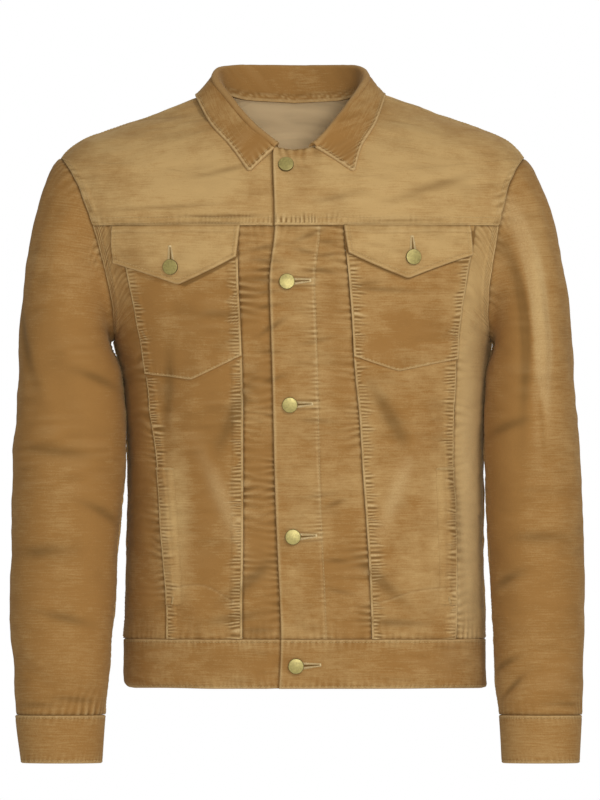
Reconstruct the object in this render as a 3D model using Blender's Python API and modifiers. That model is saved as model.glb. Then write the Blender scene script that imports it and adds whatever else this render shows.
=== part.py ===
"""Trucker jacket of napped suede in the hollow form it takes when it is worn, buttoned up and with no wearer.

Metres, +Z up. The front faces -Y and +X is the wearer's left. The origin is the middle of the shoulder line,
where a wearer carries the jacket. Every panel is a closed wall of cloth cut from one torso surface or from one
sleeve surface, so that seams meet edge to edge with a hair of air between them.
"""

import math

import bmesh
import bpy
import numpy as np

# ---------------------------------------------------------------- driving dimensions
CLOTH = 0.0016  # one layer of suede
DOUBLE = 0.0024  # collar, waistband and cuffs, which are two layers
POCKET_CLOTH = 0.0014
SEAM_GAP = 0.0003

WAIST_SEAM = -0.562
HEM = -0.614
ARM_TOP = -0.058  # shoulder tip, the top of the armhole
ARM_BOTTOM = -0.250  # armpit
NECK_SIDE = 0.014  # where the neckline crosses the shoulder seam
ARM_STEPS = 12  # rows from the armpit to the shoulder tip
SHOULDER_STEPS = 6  # rows from the shoulder tip to the neck
FRONT_YOKE_STEP = 7  # the armhole row at which each yoke ends
BACK_YOKE_STEP = 6

# The torso's level sections, from the neck down to the hem.
TORSO_COLUMNS = ("height", "centre_x", "half_width", "front_depth", "back_depth", "roundness")
TORSO_ROWS = (
    (0.014, -0.0060, 0.074, 0.016, 0.050, 2.00),
    (0.008, -0.0040, 0.092, 0.024, 0.058, 2.00),
    (0.000, -0.0020, 0.116, 0.035, 0.066, 2.00),
    (-0.014, -0.0010, 0.152, 0.053, 0.079, 2.00),
    (-0.030, -0.0010, 0.199, 0.072, 0.094, 2.08),
    (-0.039, -0.0025, 0.221, 0.0790, 0.1000, 2.16),
    (-0.047, -0.0035, 0.2325, 0.0850, 0.1050, 2.25),
    (-0.056, -0.0045, 0.2410, 0.0910, 0.1095, 2.33),
    (-0.064, -0.0045, 0.2455, 0.0957, 0.1128, 2.39),
    (-0.080, -0.0040, 0.2485, 0.1040, 0.1178, 2.45),
    (-0.100, -0.0028, 0.2475, 0.1110, 0.1228, 2.47),
    (-0.128, -0.0010, 0.2385, 0.1180, 0.1270, 2.45),
    (-0.185, 0.0020, 0.218, 0.124, 0.130, 2.42),
    (-0.250, 0.0050, 0.197, 0.127, 0.127, 2.40),
    (-0.300, 0.0080, 0.190, 0.125, 0.122, 2.40),
    (-0.374, 0.0090, 0.1865, 0.118, 0.114, 2.40),
    (-0.460, 0.0085, 0.1865, 0.113, 0.108, 2.40),
    (-0.522, 0.0080, 0.188, 0.111, 0.106, 2.40),
    (-0.562, 0.0080, 0.1895, 0.110, 0.105, 2.35),
    (-0.614, 0.0085, 0.1900, 0.106, 0.102, 2.30),
)

# Lines on the fronts, as x at each height: the edge that shows, and the two lengthwise seams of each front.
FRONT_COLUMNS = ("height", "edge", "inner_right", "inner_left", "outer_right", "outer_left")
FRONT_ROWS = (
    (-0.045, -0.0265, -0.063, 0.048, -0.190, 0.188),
    (-0.129, -0.0235, -0.062, 0.049, -0.187, 0.186),
    (-0.187, -0.0290, -0.061, 0.054, -0.176, 0.177),
    (-0.226, -0.0280, -0.059, 0.057, -0.168, 0.171),
    (-0.281, -0.0262, -0.057, 0.060, -0.159, 0.167),
    (-0.332, -0.0250, -0.056, 0.065, -0.154, 0.166),
    (-0.382, -0.0240, -0.056, 0.068, -0.148, 0.166),
    (-0.454, -0.0215, -0.056, 0.073, -0.142, 0.167),
    (-0.526, -0.0180, -0.057, 0.077, -0.137, 0.167),
    (-0.562, -0.0170, -0.057, 0.078, -0.137, 0.167),
    (-0.614, -0.0190, -0.057, 0.078, -0.137, 0.167),
)
UNDERLAP = 0.041  # how far the right front runs on under the left one
LAP_START = 0.014  # it starts to sink this far before the edge, and has sunk after the ramp
LAP_RAMP = 0.012
LAP_DEPTH = CLOTH + SEAM_GAP + 0.0003  # how far the under layer lies behind the upper one
BAND_LAP_DEPTH = DOUBLE + SEAM_GAP + 0.0003
BAND_PROUD = 0.0006  # how far the waistband and cuffs stand out from the cloth above them
CUFF_LAP_ROOM = 0.0006

# Heights of the panels' rows below the armhole. The pockets and welts end on rows of this table.
PANEL_ROWS = (-0.562, -0.544, -0.526, -0.502, -0.478, -0.454, -0.430, -0.406, -0.382, -0.357, -0.331, -0.305,
              -0.277, -0.250)
WELT_BOTTOM_ROW = 2
WELT_TOP_ROW = 8
POCKET_POINT_ROW = 12

# The back's two seams slant in from the yoke to the waist.
BACK_SEAM_TOP = 0.098
BACK_SEAM_BOTTOM = 0.062

# The armhole is an oval on the torso's side: this many degrees forward and back of the side line.
ARMHOLE_FORWARD = 17.5
ARMHOLE_BACKWARD = 18.5

# Each sleeve's level sections: x of its outer and inner side, its middle and half its depth from front to back.
SLEEVE_COLUMNS = ("height", "outer_right", "inner_right", "outer_left", "inner_left", "middle_y", "half_depth")
SLEEVE_ROWS = (
    (-0.290, -0.2925, -0.1832, 0.2900, 0.1982, -0.026, 0.070),
    (-0.330, -0.2950, -0.1801, 0.2940, 0.1965, -0.031, 0.069),
    (-0.374, -0.2980, -0.1792, 0.2965, 0.1965, -0.034, 0.066),
    (-0.416, -0.2985, -0.1827, 0.2990, 0.1985, -0.037, 0.063),
    (-0.460, -0.2995, -0.1870, 0.3000, 0.2016, -0.040, 0.060),
    (-0.522, -0.3005, -0.1910, 0.2995, 0.2040, -0.045, 0.057),
    (-0.562, -0.2990, -0.1943, 0.2995, 0.2063, -0.048, 0.055),
    (-0.600, -0.2955, -0.1974, 0.2993, 0.2084, -0.051, 0.052),
    (-0.641, -0.2945, -0.2010, 0.2980, 0.2120, -0.055, 0.048),
    (-0.692, -0.2885, -0.2045, 0.2955, 0.2150, -0.060, 0.043),
)
SLEEVE_START = -0.290  # the first level section, just below the armpit
CAP_STEPS = 8
CAP_LEAD_UNDER = 0.009  # how far the sleeve runs straight out of its seam at the armpit, and how much more on top
CAP_LEAD_OVER = 0.017
CAP_OUTWARD = 0.65  # how much it swings outwards at the shoulder tip
CAP_FOLLOW = 0.42  # share of the cap's length over which it turns down into the arm
SLEEVE_ROWS_BELOW = (-0.318, -0.346, -0.374, -0.402, -0.430, -0.458, -0.486, -0.514, -0.542, -0.570, -0.598,
                     -0.622, -0.6412)
CUFF_TOP = -0.6415
CUFF_BOTTOM = -0.692
SLEEVE_ROUNDNESS = 2.15
BACK_SLEEVE_SEAM = 18  # the sleeve's column that the seam at the back of the arm follows

# The collar: half of it, from the middle of the back to the front end. Roll is its fold line and edge its lower
# edge, both as distances out from the middle, which shifts to the wearer's left towards the front.
COLLAR_COLUMNS = ("along", "neck_angle", "roll_x", "roll_y", "roll_z", "roll_shift", "edge_x", "edge_y", "edge_z",
                  "edge_shift")
COLLAR_ROWS = (
    (0.00, 180.0, 0.000, 0.069, 0.0400, 0.000, 0.000, 0.090, -0.004, 0.000),
    (0.20, 142.0, 0.046, 0.058, 0.0405, 0.000, 0.060, 0.078, -0.003, 0.000),
    (0.36, 112.0, 0.071, 0.034, 0.0385, 0.000, 0.091, 0.040, 0.006, 0.000),
    (0.52, 82.0, 0.078, -0.001, 0.0290, 0.000, 0.100, -0.008, 0.0075, 0.000),
    (0.68, 55.0, 0.061, -0.043, 0.0035, 0.001, 0.086, -0.060, -0.024, 0.003),
    (0.84, 30.0, 0.038, -0.072, -0.0240, 0.003, 0.069, -0.082, -0.047, 0.006),
    (1.00, 11.0, 0.018, -0.088, -0.0425, 0.006, 0.055, -0.096, -0.077, 0.012),
)
COLLAR_CENTRE_X = -0.0070
NECK_MIDDLE = np.array([COLLAR_CENTRE_X, -0.010, 0.020])
COLLAR_STATIONS = 26
COLLAR_FOLD_RADIUS = 0.0030
COLLAR_SEAM_ROOM = 0.0012  # the stand leans, so its seam keeps this much more room
COLLAR_CLEARANCE = 0.0015  # least distance between the collar's underside and the yokes
NECK_COLUMNS = ("angle", "height")
NECK_ROWS = ((0.0, -0.0495), (14.0, -0.0465), (30.0, -0.0320), (51.0, -0.013), (70.0, 0.003), (90.0, NECK_SIDE),
             (112.0, 0.011), (140.0, 0.005), (180.0, 0.002))

# Buttons down the front, and the one on each pocket flap, each a height and an x.
FRONT_BUTTONS = ((-0.066, -0.0115), (-0.188, -0.0105), (-0.317, -0.0074), (-0.455, -0.0042), (-0.590, -0.0010))
FLAP_BUTTONS = {"right": (-0.1727, -0.1306), "left": (-0.1625, 0.1204)}
BUTTON_RADIUS = 0.0088

# Flaps: how far across their panel their side edges lie, and the heights of their lower edge.
FLAP_EDGE_COLUMNS = ("inner_top", "inner_bottom", "outer_top", "outer_bottom")
FLAP_EDGES = {"right": (-0.026, 0.020, 1.040, 1.085), "left": (0.000, 0.025, 0.965, 1.000)}
FLAP_ROOM = 0.0005  # air between the flap and the pocket at its top, and how much more its lower edge stands off
FLAP_LIFT = 0.0012
FLAP_BUTTON_SHARE = 0.7  # how far down the flap its button sits
FLAP_POINT = {"right": (0.524, -0.1915), "left": (0.533, -0.1850)}
FLAP_CORNERS = {"right": (-0.162, -0.168), "left": (-0.158, -0.160)}
POCKET_POINT = {"right": (0.53, -0.291), "left": (0.45, -0.282)}
POCKET_CORNERS = {"right": (-0.2650, -0.2845), "left": (-0.2660, -0.2690)}
MID_COLUMNS = (0.0, 0.13, 0.27, 0.41, 0.55, 0.68, 0.79, 0.90, 1.0)
WELT_FIRST_COLUMN = 6

# The largest soft folds, as ridges (+) and troughs (-): where they are, how they lean, and their sizes.
FOLD_COLUMNS = ("around", "height", "lean", "half_length", "half_width", "rise")
TORSO_MEAN_RADIUS = 0.165  # turns a fold's place around the torso into an angle
TORSO_FOLDS = (
    (-0.170, -0.330, 0.35, 0.070, 0.016, -0.0030),
    (-0.150, -0.520, -0.45, 0.050, 0.014, 0.0025),
    (0.172, -0.340, -0.30, 0.075, 0.016, -0.0030),
    (0.160, -0.500, 0.35, 0.060, 0.015, 0.0022),
    (0.360, -0.270, -0.50, 0.085, 0.018, -0.0035),
    (-0.360, -0.270, 0.50, 0.085, 0.018, -0.0035),
    (0.395, -0.450, 0.20, 0.080, 0.020, 0.0030),
    (-0.395, -0.470, -0.20, 0.080, 0.020, 0.0030),
    (0.470, -0.230, 0.10, 0.070, 0.022, -0.0020),
)
# On a sleeve, around is measured from its inner side through the front.
SLEEVE_MEAN_RADIUS = 0.060
SLEEVE_FOLDS = {
    "right": (
        (0.075, -0.345, 1.20, 0.050, 0.013, -0.0032),
        (0.060, -0.395, 1.35, 0.042, 0.012, -0.0028),
        (0.105, -0.300, 0.30, 0.070, 0.015, -0.0025),
        (0.130, -0.600, 1.10, 0.045, 0.012, -0.0022),
        (0.300, -0.420, 1.20, 0.060, 0.016, -0.0034),
        (0.290, -0.330, 0.60, 0.070, 0.017, -0.0030),
        (0.215, -0.500, 0.20, 0.090, 0.022, 0.0020),
    ),
    "left": (
        (0.120, -0.230, 0.10, 0.100, 0.014, -0.0030),
        (0.070, -0.390, 1.25, 0.045, 0.013, -0.0028),
        (0.090, -0.430, 1.35, 0.050, 0.012, -0.0024),
        (0.050, -0.610, 1.10, 0.035, 0.011, -0.0028),
        (0.300, -0.400, 1.20, 0.060, 0.016, -0.0034),
        (0.295, -0.310, 0.60, 0.070, 0.017, -0.0030),
        (0.200, -0.520, -0.20, 0.090, 0.022, 0.0020),
    ),
}

SUEDE = (0.43, 0.26, 0.105)
SUEDE_LIGHT = (0.50, 0.33, 0.16)
SUEDE_DARK = (0.34, 0.20, 0.075)
BRASS = (0.42, 0.32, 0.13)


# ---------------------------------------------------------------- reading the tables
def smooth_read(keys, values, at):
    """Values between the rows of a table, on a curve that has no bumps of its own."""
    at = np.clip(at, keys[0], keys[-1])
    steps = np.diff(keys)
    rises = np.diff(values) / steps
    slopes = np.empty_like(values)
    slopes[0], slopes[-1] = rises[0], rises[-1]
    product = rises[:-1] * rises[1:]
    total = np.where(product > 0, rises[:-1] + rises[1:], 1.0)
    slopes[1:-1] = np.where(product > 0, 2 * product / total, 0.0)
    i = np.clip(np.searchsorted(keys, at, side="right") - 1, 0, len(keys) - 2)
    t = (at - keys[i]) / steps[i]
    start = (1 + 2 * t) * (1 - t) ** 2 * values[i] + t * (1 - t) ** 2 * steps[i] * slopes[i]
    end = t**2 * (3 - 2 * t) * values[i + 1] + t**2 * (t - 1) * steps[i] * slopes[i + 1]
    return start + end


class Table:
    """A short table with named columns, read smoothly by its first column."""

    def __init__(self, columns, rows):
        ordered = sorted(rows)
        self.columns = {name: np.array([row[i] for row in ordered], float) for i, name in enumerate(columns)}
        self.keys = self.columns[columns[0]]

    def read(self, name, at):
        return smooth_read(self.keys, self.columns[name], np.asarray(at, float))


TORSO = Table(TORSO_COLUMNS, TORSO_ROWS)
FRONT = Table(FRONT_COLUMNS, FRONT_ROWS)
SLEEVE = Table(SLEEVE_COLUMNS, SLEEVE_ROWS)
COLLAR = Table(COLLAR_COLUMNS, COLLAR_ROWS)
NECK = Table(NECK_COLUMNS, NECK_ROWS)
SIDES = {"right": -1, "left": 1}


def fold_rise(folds, around, height):
    """How far the folds lift the cloth at a place on it."""
    rise = np.zeros(np.broadcast(around, height).shape)
    for fold in folds:
        row = dict(zip(FOLD_COLUMNS, fold))
        across, up = around - row["around"], height - row["height"]
        along = up * math.cos(row["lean"]) + across * math.sin(row["lean"])
        off = across * math.cos(row["lean"]) - up * math.sin(row["lean"])
        rise += row["rise"] * np.exp(-((along / row["half_length"]) ** 2) - (off / row["half_width"]) ** 2)
    return rise


# ---------------------------------------------------------------- the torso surface
def torso_reach(angle, height):
    """Distance from the torso's axis to its surface. The angle is 0 at the front and +90 degrees at the left."""
    depth = np.where(np.cos(angle) > 0, TORSO.read("front_depth", height), TORSO.read("back_depth", height))
    power = TORSO.read("roundness", height)
    sideways = np.abs(np.sin(angle)) / TORSO.read("half_width", height)
    forwards = np.abs(np.cos(angle)) / depth
    return (sideways**power + forwards**power) ** (-1 / power)


def smooth_torso(angle, height):
    angle, height = np.broadcast_arrays(np.asarray(angle, float), np.asarray(height, float))
    reach = torso_reach(angle, height)
    x = TORSO.read("centre_x", height) + reach * np.sin(angle)
    return np.stack([x, -reach * np.cos(angle), height], axis=-1)


def unit(vectors):
    return vectors / np.linalg.norm(vectors, axis=-1, keepdims=True)


def torso_normal(angle, height):
    """The outward direction of the torso's surface, which all walls on it share."""
    step = 0.0015
    height = np.clip(height, TORSO.keys[0] + step, TORSO.keys[-1] - step)
    around = smooth_torso(angle + step / 0.1, height) - smooth_torso(angle - step / 0.1, height)
    return unit(np.cross(around, smooth_torso(angle, height + step) - smooth_torso(angle, height - step)))


def torso_surface(angle, height):
    """(points, normals) of the torso with its folds."""
    points, normals = smooth_torso(angle, height), torso_normal(angle, height)
    turned = (np.broadcast_to(angle, points.shape[:-1]) + math.pi) % (2 * math.pi) - math.pi
    girth = turned * TORSO_MEAN_RADIUS
    return points + normals * fold_rise(TORSO_FOLDS, girth, points[..., 2])[..., None], normals


def angle_of(x, height, back=False):
    """The angle at which the torso's front, or its back, passes through x."""
    out = np.asarray(x) - TORSO.read("centre_x", height)
    power = TORSO.read("roundness", height)
    depth = TORSO.read("back_depth" if back else "front_depth", height)
    share = np.clip(np.abs(out) / TORSO.read("half_width", height), 0, 1)
    forwards = depth * (1 - share**power) ** (1 / power)
    return np.arctan2(out, -forwards if back else forwards)


def arm_height(step):
    share = 0.5 * (1 - np.cos(np.pi * np.asarray(step) / ARM_STEPS))
    return ARM_BOTTOM + (ARM_TOP - ARM_BOTTOM) * share


def armhole_angle(height, back=False):
    """The armhole's edge on the left side, as an angle: at the side line below the armpit and above the tip."""
    share = np.clip((np.asarray(height) - ARM_BOTTOM) / (ARM_TOP - ARM_BOTTOM), 0, 1)
    oval = (1 - np.abs(2 * share - 1) ** 2.6) ** (1 / 2.2)
    if back:
        return math.pi / 2 + math.radians(ARMHOLE_BACKWARD) * oval
    return math.pi / 2 - math.radians(ARMHOLE_FORWARD) * oval


FRONT_YOKE_SEAM = float(arm_height(FRONT_YOKE_STEP))
BACK_YOKE_SEAM = float(arm_height(BACK_YOKE_STEP))
FRONT_HEIGHTS = np.array(PANEL_ROWS + tuple(arm_height(np.arange(1, FRONT_YOKE_STEP + 1))))
BACK_HEIGHTS = np.array(PANEL_ROWS + tuple(arm_height(np.arange(1, BACK_YOKE_STEP + 1))))


def half_gap(angle, height):
    """Half a seam's gap, as an angle."""
    return SEAM_GAP / 2 / torso_reach(angle, height)


# ---------------------------------------------------------------- making solids
def material_of(name, colour, roughness, metallic=0.0):
    material = bpy.data.materials.new(name)
    material.use_nodes = True
    shader = material.node_tree.nodes["Principled BSDF"]
    shader.inputs["Base Color"].default_value = (*colour, 1.0)
    shader.inputs["Roughness"].default_value = roughness
    shader.inputs["Metallic"].default_value = metallic
    material.diffuse_color = (*colour, 1.0)
    return material


def add_object(name, mesh, colour, roughness=0.85, metallic=0.0):
    mesh.materials.append(material_of(name + "_finish", colour, roughness, metallic))
    mesh.shade_smooth()
    mesh.set_sharp_from_angle(angle=math.radians(40))
    made = bpy.data.objects.new(name, mesh)
    JACKET.objects.link(made)
    return made


def cloth_wall(name, outer, inner, colour, closed=False):
    """One closed wall of cloth between two grids of points. A closed one is a tube, whose columns come round."""
    rows, columns = outer.shape[:2]
    mesh = bmesh.new()
    skins = [[[mesh.verts.new(point) for point in row] for row in grid] for grid in (outer, inner)]
    last = columns if closed else columns - 1
    for row in range(rows - 1):
        for column in range(last):
            beside = (column + 1) % columns
            for skin in skins:
                mesh.faces.new((skin[row][column], skin[row][beside], skin[row + 1][beside], skin[row + 1][column]))
    rims = [[(row, column) for column in range(columns)] for row in (0, rows - 1)]
    if not closed:
        rims = [rims[0] + [(row, columns - 1) for row in range(1, rows)]
                + rims[1][-2::-1] + [(row, 0) for row in range(rows - 2, 0, -1)]]
    for rim in rims:
        for (row, column), (next_row, next_column) in zip(rim, rim[1:] + rim[:1]):
            mesh.faces.new((skins[0][row][column], skins[0][next_row][next_column],
                            skins[1][next_row][next_column], skins[1][row][column]))
    bmesh.ops.recalc_face_normals(mesh, faces=mesh.faces)
    made = bpy.data.meshes.new(name)
    mesh.to_mesh(made)
    mesh.free()
    return add_object(name, made, colour)


def torso_wall(name, angle, height, colour, thickness=CLOTH, out=0.0):
    """A wall on the torso's surface, its outer skin moved out by this much."""
    points, normals = torso_surface(angle, height)
    out = np.asarray(out, float)[..., None] if np.ndim(out) else out
    outer = points + normals * out
    return cloth_wall(name, outer, outer - normals * thickness, colour)


def between(start, end, shares):
    """Rows by columns of angles, from a start to an end for each row."""
    start, end = np.asarray(start)[:, None], np.asarray(end)[:, None]
    return start + (end - start) * np.asarray(shares)[None, :]


def trimmed(heights, bottom, top):
    """The heights with their first and last moved half a gap inwards, where a seam is."""
    heights = np.array(heights, float)
    heights[0] += bottom * SEAM_GAP / 2
    heights[-1] -= top * SEAM_GAP / 2
    return heights


def seam_angle(side, seam, heights):
    return angle_of(FRONT.read(f"{seam}_{side}", heights), heights)


# ---------------------------------------------------------------- front panels
def lap_push(x, height, depth):
    """How far the right front lies back where the left front covers it."""
    into = (x - FRONT.read("edge", height) + LAP_START) / LAP_RAMP
    share = np.clip(into, 0, 1)
    return -depth * share * share * (3 - 2 * share)


def centre_panel(side):
    """From the front edge to the first lengthwise seam."""
    heights = trimmed(FRONT_HEIGHTS, 1, 1)
    seam = FRONT.read(f"inner_{side}", heights)
    edge = FRONT.read("edge", heights)
    if side == "left":
        x = between(edge, seam - SEAM_GAP / 2, np.linspace(0, 1, 7))
        out = 0.0
    else:
        edge_x = edge[:, None]
        lap = np.array([-0.014, -0.008, -0.002, 0.020, UNDERLAP])[None, :] + edge_x
        x = np.hstack([(seam + SEAM_GAP / 2)[:, None], 0.5 * (seam[:, None] + lap[:, :1]), lap])
        out = lap_push(x, heights[:, None], LAP_DEPTH)
    height = np.broadcast_to(heights[:, None], x.shape)
    torso_wall(f"front_centre_{side}", angle_of(x, height), height, SUEDE, out=out)


def point_line(columns, corners, point):
    """A lower edge that comes to a point, as heights over the panel's columns."""
    return np.interp(columns, (0.0, point[0], 1.0), (corners[0], point[1], corners[1]))


def mid_grid(side, columns=MID_COLUMNS):
    """(angles, heights) of the panel between the two seams, its rows bent to follow the pocket and the flap."""
    columns = np.asarray(columns)
    heights = np.repeat(trimmed(FRONT_HEIGHTS, 1, 1)[:, None], len(columns), axis=1)
    flap_row = len(PANEL_ROWS) + 4
    bends = (
        (POCKET_POINT_ROW, point_line(columns, POCKET_CORNERS[side], POCKET_POINT[side]), (1.0, 0.62, 0.3)),
        (flap_row, point_line(columns, FLAP_CORNERS[side], FLAP_POINT[side]), (1.0, 0.55, 0.0)),
    )
    for bent_row, line, shares in bends:
        shift = line - heights[bent_row]
        for distance, share in enumerate(shares):
            for row in {bent_row - distance, bent_row + distance}:
                heights[row] += shift * share
    start, end = seam_angle(side, "inner", heights), seam_angle(side, "outer", heights)
    gap = SIDES[side] * half_gap(start, heights)
    start, end = start + gap, end - SIDES[side] * half_gap(end, heights)
    return start + (end - start) * columns[None, :], heights


def mid_panel(side):
    angle, height = mid_grid(side)
    torso_wall(f"front_mid_{side}", angle, height, SUEDE)


def side_panel(side):
    """From the outer seam to the side seam, and above it to the armhole."""
    heights = trimmed(FRONT_HEIGHTS, 1, 1)
    start = seam_angle(side, "outer", heights)
    end = SIDES[side] * armhole_angle(heights)
    start = start + 2 * SIDES[side] * half_gap(start, heights)
    end = end - SIDES[side] * half_gap(end, heights)
    angle = between(start, end, np.linspace(0, 1, 5))
    height = np.broadcast_to(heights[:, None], angle.shape)
    torso_wall(f"front_side_{side}", angle, height, SUEDE_DARK)


# ---------------------------------------------------------------- back panels
def back_seam_x(heights):
    share = (heights - WAIST_SEAM) / (BACK_YOKE_SEAM - WAIST_SEAM)
    return BACK_SEAM_BOTTOM + (BACK_SEAM_TOP - BACK_SEAM_BOTTOM) * share


def back_centre():
    heights = trimmed(BACK_HEIGHTS, 1, 1)
    reach = back_seam_x(heights) - SEAM_GAP / 2
    middle = TORSO.read("centre_x", heights)
    start = angle_of(middle + reach, heights, back=True)
    angle = between(start, 2 * math.pi - start, np.linspace(0, 1, 11))
    height = np.broadcast_to(heights[:, None], angle.shape)
    torso_wall("back_centre", angle, height, SUEDE)


def back_side(side):
    heights = trimmed(BACK_HEIGHTS, 1, 1)
    middle = TORSO.read("centre_x", heights)
    inner = angle_of(middle + back_seam_x(heights) + SEAM_GAP / 2, heights, back=True)
    outer = armhole_angle(heights, back=True)
    outer = outer + half_gap(outer, heights)
    angle = SIDES[side] * between(outer, inner, np.linspace(0, 1, 8))
    height = np.broadcast_to(heights[:, None], angle.shape)
    torso_wall(f"back_side_{side}", angle, height, SUEDE)


# ---------------------------------------------------------------- yokes and neck
def edge_heights(seam_step):
    """The rows of a yoke along its outer side: up the armhole, then along the shoulder seam."""
    up_armhole = arm_height(np.arange(seam_step, ARM_STEPS + 1))
    along_shoulder = np.linspace(ARM_TOP, NECK_SIDE, SHOULDER_STEPS + 1)[1:]
    return np.concatenate([up_armhole, along_shoulder])


def yoke_heights(rows, seam, neck):
    """Rows by columns: each column's rows run from the seam to its own place on the neckline."""
    share = (rows - seam) / (NECK_SIDE - seam)
    heights = seam + share[:, None] * (neck - seam)[None, :]
    heights[0] += SEAM_GAP / 2
    return heights


def front_yoke(side):
    sign = SIDES[side]
    rows = edge_heights(FRONT_YOKE_STEP)
    outer = sign * armhole_angle(rows)
    outer = outer - sign * half_gap(outer, rows)
    start_neck = float(NECK.read("height", 0.0))
    start_heights = FRONT_YOKE_SEAM + (rows - FRONT_YOKE_SEAM) / (NECK_SIDE - FRONT_YOKE_SEAM) * (
        start_neck - FRONT_YOKE_SEAM)
    edge = FRONT.read("edge", start_heights)
    if side == "left":
        shares = np.array([0, 0.11, 0.22, 0.33, 0.44, 0.55, 0.66, 0.77, 0.89, 1.0])
        start = angle_of(edge, start_heights)
    else:
        shares = np.array([0, 0.09, 0.19, 0.24, 0.29, 0.38, 0.48, 0.58, 0.68, 0.78, 0.89, 1.0])
        start = angle_of(edge + UNDERLAP, start_heights)
    angle = between(start, outer, shares)
    neck = NECK.read("height", np.degrees(np.abs(angle[-1])))
    height = yoke_heights(rows, FRONT_YOKE_SEAM, neck)
    out = 0.0
    if side == "right":
        out = lap_push(smooth_torso(angle, height)[..., 0], height, LAP_DEPTH)
    torso_wall(f"yoke_front_{side}", angle, height, SUEDE_LIGHT, out=out)


def back_yoke_grid():
    rows = edge_heights(BACK_YOKE_STEP)
    outer = armhole_angle(rows, back=True)
    outer = outer + half_gap(outer, rows)
    angle = between(outer, 2 * math.pi - outer, np.linspace(0, 1, 19))
    neck = NECK.read("height", 180 - np.abs(180 - np.degrees(angle[-1])))
    return angle, yoke_heights(rows, BACK_YOKE_SEAM, neck)


def back_yoke():
    angle, height = back_yoke_grid()
    torso_wall("yoke_back", angle, height, SUEDE_LIGHT)


def back_facing():
    """The facing that shows through the neck, made from the back yoke's own points and moved in."""
    angle, height = back_yoke_grid()
    part = (slice(4, None), slice(3, -3))
    inwards = -(CLOTH + SEAM_GAP)
    torso_wall("back_facing", angle[part], height[part], SUEDE_LIGHT, thickness=0.0012, out=inwards)


def clear_of_torso(points, clearance):
    """Moves the points that are nearer the torso's surface than the clearance out along its normal."""
    height = points[..., 2]
    out = points[..., 0] - TORSO.read("centre_x", height)
    angle = np.arctan2(out, -points[..., 1])
    normal = torso_normal(angle, height)
    beyond = np.hypot(out, points[..., 1]) - torso_reach(angle, height)
    radial = np.stack([np.sin(angle), -np.cos(angle), np.zeros_like(angle)], axis=-1)
    distance = beyond * np.sum(radial * normal, axis=-1)
    short = np.where(height < NECK_SIDE, np.clip(clearance - distance, 0, None), 0)
    return points + normal * short[..., None]


def neckline(degrees, sign):
    return smooth_torso(sign * np.radians(degrees), NECK.read("height", degrees))


def collar_section(along, sign):
    """The collar's middle line in one section, from its seam up to the roll and down to its edge."""
    row = {name: float(COLLAR.read(name, along)) for name in COLLAR_COLUMNS}
    degrees = row["neck_angle"]
    seam = neckline(degrees, sign)
    normal = torso_normal(sign * math.radians(degrees), NECK.read("height", degrees))
    along_seam = neckline(min(degrees + 2, 180), sign) - neckline(degrees - 2, sign)
    inwards = unit(np.cross(along_seam, normal))
    inwards *= math.copysign(1, np.dot(inwards, NECK_MIDDLE - seam))
    base = seam + inwards * (SEAM_GAP + DOUBLE / 2 + COLLAR_SEAM_ROOM) - normal * CLOTH
    roll = np.array([COLLAR_CENTRE_X + row["roll_shift"] + sign * row["roll_x"], row["roll_y"], row["roll_z"]])
    edge = np.array([COLLAR_CENTRE_X + row["edge_shift"] + sign * row["edge_x"], row["edge_y"], row["edge_z"]])
    up = unit(roll - base)
    out = edge - roll
    out = unit(out - up * np.dot(out, up))
    turn = roll + (out - up) * COLLAR_FOLD_RADIUS
    stand = [base, base + (turn - out * COLLAR_FOLD_RADIUS - base) * 0.5]
    bend = [turn + COLLAR_FOLD_RADIUS * (-out * math.cos(a) + up * math.sin(a))
            for a in np.radians((0, 45, 90, 135, 180))]
    fall = [bend[-1] + (edge - bend[-1]) * share for share in (0.3, 0.6, 0.85, 1.0)]
    return np.array(stand + bend + fall)


def grid_normals(points, closed=False):
    """Normals of a grid of points, by the differences between its rows and its columns."""
    if closed:
        across = np.roll(points, -1, axis=1) - np.roll(points, 1, axis=1)
    else:
        across = np.gradient(points, axis=1)
    return unit(np.cross(across, np.gradient(points, axis=0)))


def collar():
    half = np.linspace(0, 1, COLLAR_STATIONS // 2 + 1)
    right = [collar_section(along, -1) for along in half[::-1]]
    left = [collar_section(along, 1) for along in half[1:]]
    middle = np.array(right + left)
    for _ in range(3):
        middle[:, 6:] = clear_of_torso(middle[:, 6:], DOUBLE / 2 + COLLAR_CLEARANCE)
    normals = grid_normals(middle)
    cloth_wall("collar", middle + normals * DOUBLE / 2, middle - normals * DOUBLE / 2, SUEDE)


# ---------------------------------------------------------------- waistband
def waistband():
    heights = trimmed(np.linspace(HEM, WAIST_SEAM, 3), 0, 1)
    start = angle_of(FRONT.read("edge", heights), heights)
    under_x = FRONT.read("edge", heights) + np.array([[UNDERLAP], [0.020], [-0.002], [-0.008], [-0.014]])
    under = 2 * math.pi + angle_of(under_x, heights[None, :])
    angle = np.hstack([between(start, under[-1], np.linspace(0, 1, 42)), under[-2::-1].T])
    height = np.broadcast_to(heights[:, None], angle.shape)
    x = smooth_torso(angle, height)[..., 0]
    under_lap = lap_push(x, height, BAND_LAP_DEPTH) * (angle > math.pi)
    torso_wall("waistband", angle, height, SUEDE, thickness=DOUBLE, out=BAND_PROUD + under_lap)


# ---------------------------------------------------------------- pockets
def chest_pocket(side):
    """A patch from under the flap to its pointed lower edge, made from the panel's points and moved out."""
    angle, height = mid_grid(side)
    rows = slice(POCKET_POINT_ROW, len(PANEL_ROWS) + 6)
    out = SEAM_GAP + POCKET_CLOTH
    torso_wall(f"chest_pocket_{side}", angle[rows], height[rows], SUEDE, thickness=POCKET_CLOTH, out=out)


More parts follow.
